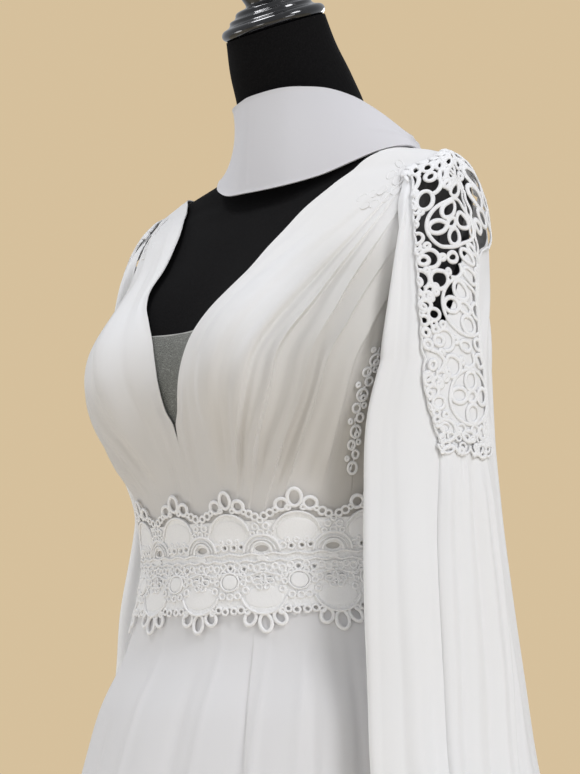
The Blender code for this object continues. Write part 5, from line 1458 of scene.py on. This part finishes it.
def build_sleeve_lace(side, tag):
    ways = np.linspace(0, 1.2, 481)
    run = run_along(sleeve(side, np.zeros(481), ways))

    def edge_at(down, index):
        way = np.interp(down, run, ways)
        return (column(LACE_EDGES, 3, way) - column(LACE_EDGES, index, way)) * LACE_SPREAD

    def place(spots, height):
        way = np.interp(spots[:, 1], run, ways)
        share = column(LACE_EDGES, 3, way) - spots[:, 0] / LACE_SPREAD
        lift = (CHIFFON + LACE_LAP + height)[:, None]
        return mirrored(sleeve(side, share, way) + sleeve_normal(side, share, way) * lift, side)

    rng = np.random.default_rng(91 if side > 0 else 92)
    curves = []

    def add(line, half, high=0.0021, low=0.0, cut=True):
        """A cord, cut off where it would pass the strip's edges."""
        points, closed = line[0] * MM, line[1]
        front, back = edge_at(points[:, 1], 1) + 0.001, edge_at(points[:, 1], 2) - 0.0005
        keep = (points[:, 0] > front) & (points[:, 0] < back) & (points[:, 1] > LACE_START)
        keep &= points[:, 1] < LACE_END + 0.010
        if keep.all() or not cut:
            curves.append((points, closed, half * MM, low, high))
            return
        if closed:
            first = int(np.argmin(keep))
            points, keep = np.roll(points, -first, axis=0), np.roll(keep, -first)
        # Each run of kept points that is long enough becomes a cord of its own
        ends = np.flatnonzero(np.diff(np.r_[False, keep, False]))
        for start, end in zip(ends[::2], ends[1::2]):
            if end - start > 3:
                curves.append((points[start:end], False, half * MM, low, high))

    def add_row(row, y0, half):
        x, y, *size = row
        at = np.array([x, y + y0]) + rng.uniform(-0.35, 0.35, 2)
        if isinstance(size[1], tuple):
            line = arc(*at, size[0], *size[1], step=1.2)
        else:
            line = oval(*at, *size, step=1.2)
        add(line, half + 0.5 * (x > 26))

    centres = [(FIRST_FLOWER + LACE_REPEAT * k) / MM for k in range(3)]
    for centre in centres:
        for row in FLOWER:
            add_row(row, centre, 2.25)
        add(oval(FLOWER_RING[0], centre + FLOWER_RING[1], *FLOWER_RING[2:], step=1.5), 1.9)
        for x, y, r in LEFT_EDGE:
            add(oval(x, centre + y, r, r, step=1.2), 1.8)
        for row in BETWEEN:
            add_row(row, centre, 2.1)
    for row in TOP_START:
        add_row(row, centres[0], 2.1)
    # A double cord runs down beside the flowers, and the strip's edges are corded too
    depth = np.linspace(LACE_START / MM, LACE_END / MM, 220)
    front, back = edge_at(depth * MM, 1) / MM, edge_at(depth * MM, 2) / MM
    beside = np.interp(depth - centres[0], BESIDE[:, 0], BESIDE[:, 1]) + 0.4 * np.sin(depth * 0.42)
    beside = np.minimum(back + 0.4, beside)
    add(flat_line(beside, depth), 1.5, 0.0025, 0.0002, cut=False)
    add(flat_line(beside - 2.6, depth), 1.1, 0.0022, 0.0002, cut=False)
    add(flat_line(back - 1.0 + 0.3 * np.sin(depth * 0.6), depth), 1.5, cut=False)
    add(flat_line(front + 1.6 + 0.6 * np.sin(depth * 0.37), depth), 1.1, 0.0013, -0.0008, cut=False)
    end = LACE_END / MM
    front_end, back_end = float(edge_at(LACE_END, 1)) / MM, float(edge_at(LACE_END, 2)) / MM
    width = (back_end - front_end) / SCALLOPS
    for k in range(SCALLOPS):
        x = front_end + (k + 0.5) * width
        add(arc(x, end + 0.6, width / 2, 0, 180, step=1.2), 1.3, cut=False)
        for off, y, r, half, cut in SCALLOP_RINGS:
            add(oval(x + off, end + y, r, r, step=1.1), half, cut=cut)
    lace = cords(f"sleeve_cords_{tag}", curves, place, sleeve_guipure, replaces=(f"sleeve_lace_{tag}",))
    starts = []
    for x, y, rx, ry in START_PADS:
        outline = oval(x, y + centres[0], rx, ry, rng.uniform(-25, 25), step=1.8)[0]
        starts.append((outline * MM, 0.0002, 0.0019))
    declare("sleeve_lace", with_pieces=(pads(f"sleeve_pads_{tag}", starts, place, sleeve_guipure),))

    def on_shoulder(spots, height):
        return mirrored(on_form(spots[:, 0], spots[:, 1], stand_off(spots[:, 1]) + CHIFFON + height), side)

    petals, veils = [], []
    for angle, z, rx, ry, turn in SHOULDER_PETALS:
        line, closed = oval(0.0, 0.0, rx, ry, turn, step=1.0)
        line = np.stack([angle + np.degrees(line[:, 0] * MM / SHOULDER_RADIUS), z + line[:, 1] * MM], -1)
        petals.append((line, closed, 0.0008, 0.0000, 0.0010))
        veils.append((line, 0.0001, 0.0007))
    shoulder = (cords(f"shoulder_petal_edges_{tag}", petals, on_shoulder, chiffon),
                pads(f"shoulder_petals_{tag}", veils, on_shoulder, chiffon))
    declare("front", with_pieces=shoulder)

    # The chiffon of the sleeve's back runs on under the lower part of the strip, as its lining
    rows = np.linspace(LINING[0, 0], LINING[-1, 0], 64)
    down = (rows + centres[0]) * MM
    lined = np.interp(down, run, ways)
    line = column(LACE_EDGES, 3, lined)
    first = line - np.interp(rows, LINING[:, 0], LINING[:, 1]) * MM / LACE_SPREAD
    first = np.minimum(first, column(LACE_EDGES, 1, lined) + LINING_INSET)
    last = column(LACE_EDGES, 2, lined) - LINING_INSET
    share, way = across_sheet(first, last, np.linspace(0, 1, 30), lined)
    clear = (line[:, None] - share) * LACE_SPREAD
    raised = smooth((clear - edge_at(down, 1)[:, None]) / 0.007)
    raised = raised * smooth((edge_at(down, 2)[:, None] - clear) / 0.007)
    raised = raised * smooth((LINING[-1, 0] - rows)[:, None] / 10.0)
    lift = 0.0003 * wander(share, 88, 0.03) * raised - CHIFFON + 0.0004 + LINING_RISE * raised
    lining = sleeve_shell(f"sleeve_lining_{tag}", side, share, way, lift, side < 0)
    declare("sleeve_lining")


# Throat band

# Two long creases across the band: place up it, width, depth, and where each starts and ends round it
BAND_CREASES = ((0.30, 0.05, 0.0008, 3.0, 8.0), (0.44, 0.06, -0.0009, 3.5, 8.5))
BAND_AXIS = np.array([0.0, 0.035])


def build_collar():
    count = len(COLLAR)
    around = np.arange(count * 12) / 12
    knots = np.arange(-3, count + 4, dtype=float)
    looped = COLLAR[np.arange(-3, count + 4) % count]
    closed = np.array([monotone(around, knots, looped[:, k]) for k in range(7)]).T
    # The table's corners are eased once round, as a band of cloth has none
    for _ in range(10):
        closed = closed * 0.5 + (np.roll(closed, 1, axis=0) + np.roll(closed, -1, axis=0)) * 0.25
    t = np.r_[0.0, 0.012, 0.026, 0.045, np.linspace(0.08, 0.92, 22), 0.955, 0.974, 0.988, 1.0][:, None]
    inner = closed[:, :3] * (1 - t[..., None]) + closed[:, 3:6] * t[..., None]
    out = unit(inner[..., :2] - BAND_AXIS)
    inner[..., :2] += out * (closed[:, 6] * 4 * t * (1 - t))[..., None]
    along = np.roll(inner, -1, axis=1) - np.roll(inner, 1, axis=1)
    n = unit(np.cross(along, np.gradient(inner, axis=0)))
    relief = 0.0006 * wander(around * 0.7 + t * 1.3, 19, 1.0)
    for place, width, depth, first, last in BAND_CREASES:
        window = smooth((around - first) / 1.5) * smooth((last - around) / 2)
        relief += depth * np.exp(-((t - place - 0.05 * around) / width) ** 2) * window
    relief += edge_bead(t, 0.0004, 0.02) + edge_bead(1 - t, 0.0005, 0.02)
    outer = inner + n * (BAND + relief)[..., None]
    band = shell("throat_band", outer, SHOWN_BAND, shaded_collar_chiffon, closed=True, normals=n,
                 replaces=("collar_band",))
    declare("band")


build_form()
build_fronts()
build_backs()
build_insert()
build_side_lace(1, "left")
build_side_lace(-1, "right")
build_skirt()
build_waist_lace()
build_sleeve(1, "left")
build_sleeve(-1, "right")
build_collar()


# Floor, light and camera

FLOOR_RADIUS = 5.0
WALL_RADIUS = 9.0
WALL_COLOUR = (0.672, 0.528, 0.334, 1.0)
# Lights: name, place, what it is aimed at, size, power, colour
LIGHTS = (
    ("key", (2.5, -0.3, 3.1), (0.0, 0.0, 1.15), 1.0, 33.5, (0.975, 0.975, 1.0)),
    ("side", (3.0, -0.5, 1.1), (0.0, 0.0, 1.1), 1.2, 12.0, (0.97, 0.97, 1.0)),
    ("top", (-0.7, -0.7, 3.8), (0.0, 0.0, 1.2), 0.9, 25.0, (0.965, 0.97, 1.0)),
    ("fill", (-2.3, -2.2, 0.6), (0.0, 0.0, 0.95), 1.2, 15.5, (0.985, 0.98, 1.0)),
    ("low", (0.5, -2.3, 0.25), (0.05, -0.05, 0.70), 0.8, 6.5, (0.985, 0.98, 1.0)),
    ("back", (-1.2, 2.8, 2.2), (0.0, 0.0, 1.1), 1.2, 13.0, (0.975, 0.975, 1.0)),
)
SENSOR_HEIGHT = 36.0


def stage_piece(name, mesh, paint, lights=True):
    """A mesh of the stage; one that lights nothing is only seen."""
    mesh.materials.append(paint)
    piece = bpy.data.objects.new(name, mesh)
    bpy.context.scene.collection.objects.link(piece)
    piece.visible_diffuse = piece.visible_glossy = lights
    piece.visible_transmission = piece.visible_shadow = lights


def make_stage():
    mesh = bpy.data.meshes.new("studio_floor")
    rim = circles(((FLOOR_RADIUS, 0.0),), 96)[0].tolist()
    mesh.from_pydata([(0.0, 0.0, 0.0)] + rim, [], [(0, k + 1, (k + 1) % 96 + 1) for k in range(96)])
    paint, tree, shader, where = new_material("pale_floor", (0.70, 0.62, 0.47), 0.7)
    tone = ramp(tree, noise(tree, where, 3.0, 3.0), (0.35, (0.68, 0.60, 0.45)), (0.65, (0.71, 0.63, 0.48)))
    tree.links.new(tone, shader.inputs["Base Color"])
    stage_piece("studio_floor", mesh, paint)


def make_backdrop():
    """A plain wall of colour all round, seen but giving no light."""
    mesh = bpy.data.meshes.new("studio_wall")
    rows, around = 24, 48
    tilts = [math.pi * r / rows for r in range(rows + 1)]
    rings = circles([(WALL_RADIUS * math.sin(t), 1.0 + WALL_RADIUS * math.cos(t)) for t in tilts], around)
    mesh.from_pydata(rings.reshape(-1, 3).tolist(), [], grid_faces(rows + 1, around, True).tolist())
    mesh.validate()
    mesh.shade_smooth()
    paint = bpy.data.materials.new("studio_wall_paint")
    paint.use_nodes = True
    tree = paint.node_tree
    tree.nodes.remove(tree.nodes["Principled BSDF"])
    glow = node(tree, "Emission", {"Color": WALL_COLOUR, "Strength": 1.0})
    tree.links.new(glow.outputs["Emission"], tree.nodes["Material Output"].inputs["Surface"])
    stage_piece("studio_wall", mesh, paint, lights=False)


def area_light(name, place, target, size, power, colour):
    data = bpy.data.lights.new(name, "AREA")
    data.shape = "DISK"
    data.size = size
    data.energy = power
    data.color = colour
    light = bpy.data.objects.new(name, data)
    bpy.context.scene.collection.objects.link(light)
    light.location = place
    light.rotation_euler = (Vector(target) - Vector(place)).to_track_quat("-Z", "Y").to_euler()


def make_lights():
    world = bpy.data.worlds.new("studio")
    bpy.context.scene.world = world
    world.use_nodes = True
    sky = world.node_tree.nodes["Background"].inputs
    sky["Color"].default_value = (0.93, 0.955, 1.0, 1.0)
    sky["Strength"].default_value = 0.45
    for light in LIGHTS:
        area_light(*light)


def make_camera():
    az = math.radians(CAMERA_AZIMUTH)
    pitch = math.radians(CAMERA_PITCH)
    yaw = math.atan(AXIS_OFFSET_PIXELS / FOCAL_PIXELS)
    place = Vector((math.sin(az) * CAMERA_DISTANCE, -math.cos(az) * CAMERA_DISTANCE, CAMERA_HEIGHT))
    right = Vector((math.cos(az), math.sin(az), 0.0))
    forward = Vector((-math.sin(az), math.cos(az), 0.0))
    flat = forward * math.cos(yaw) - right * math.sin(yaw)
    right = right * math.cos(yaw) + forward * math.sin(yaw)
    up = Vector((0.0, 0.0, 1.0))
    look = flat * math.cos(pitch) + up * math.sin(pitch)
    above = up * math.cos(pitch) - flat * math.sin(pitch)
    data = bpy.data.cameras.new("camera")
    data.sensor_fit = "VERTICAL"
    data.sensor_height = SENSOR_HEIGHT
    data.lens = FOCAL_PIXELS / FRAME_HEIGHT * SENSOR_HEIGHT
    data.clip_start = 0.05
    data.clip_end = 50.0
    camera = bpy.data.objects.new("camera", data)
    bpy.context.scene.collection.objects.link(camera)
    camera.matrix_world = Matrix((*zip(right, above, -look, place), (0.0, 0.0, 0.0, 1.0)))
    bpy.context.scene.camera = camera


make_stage()
make_backdrop()
make_lights()
make_camera()
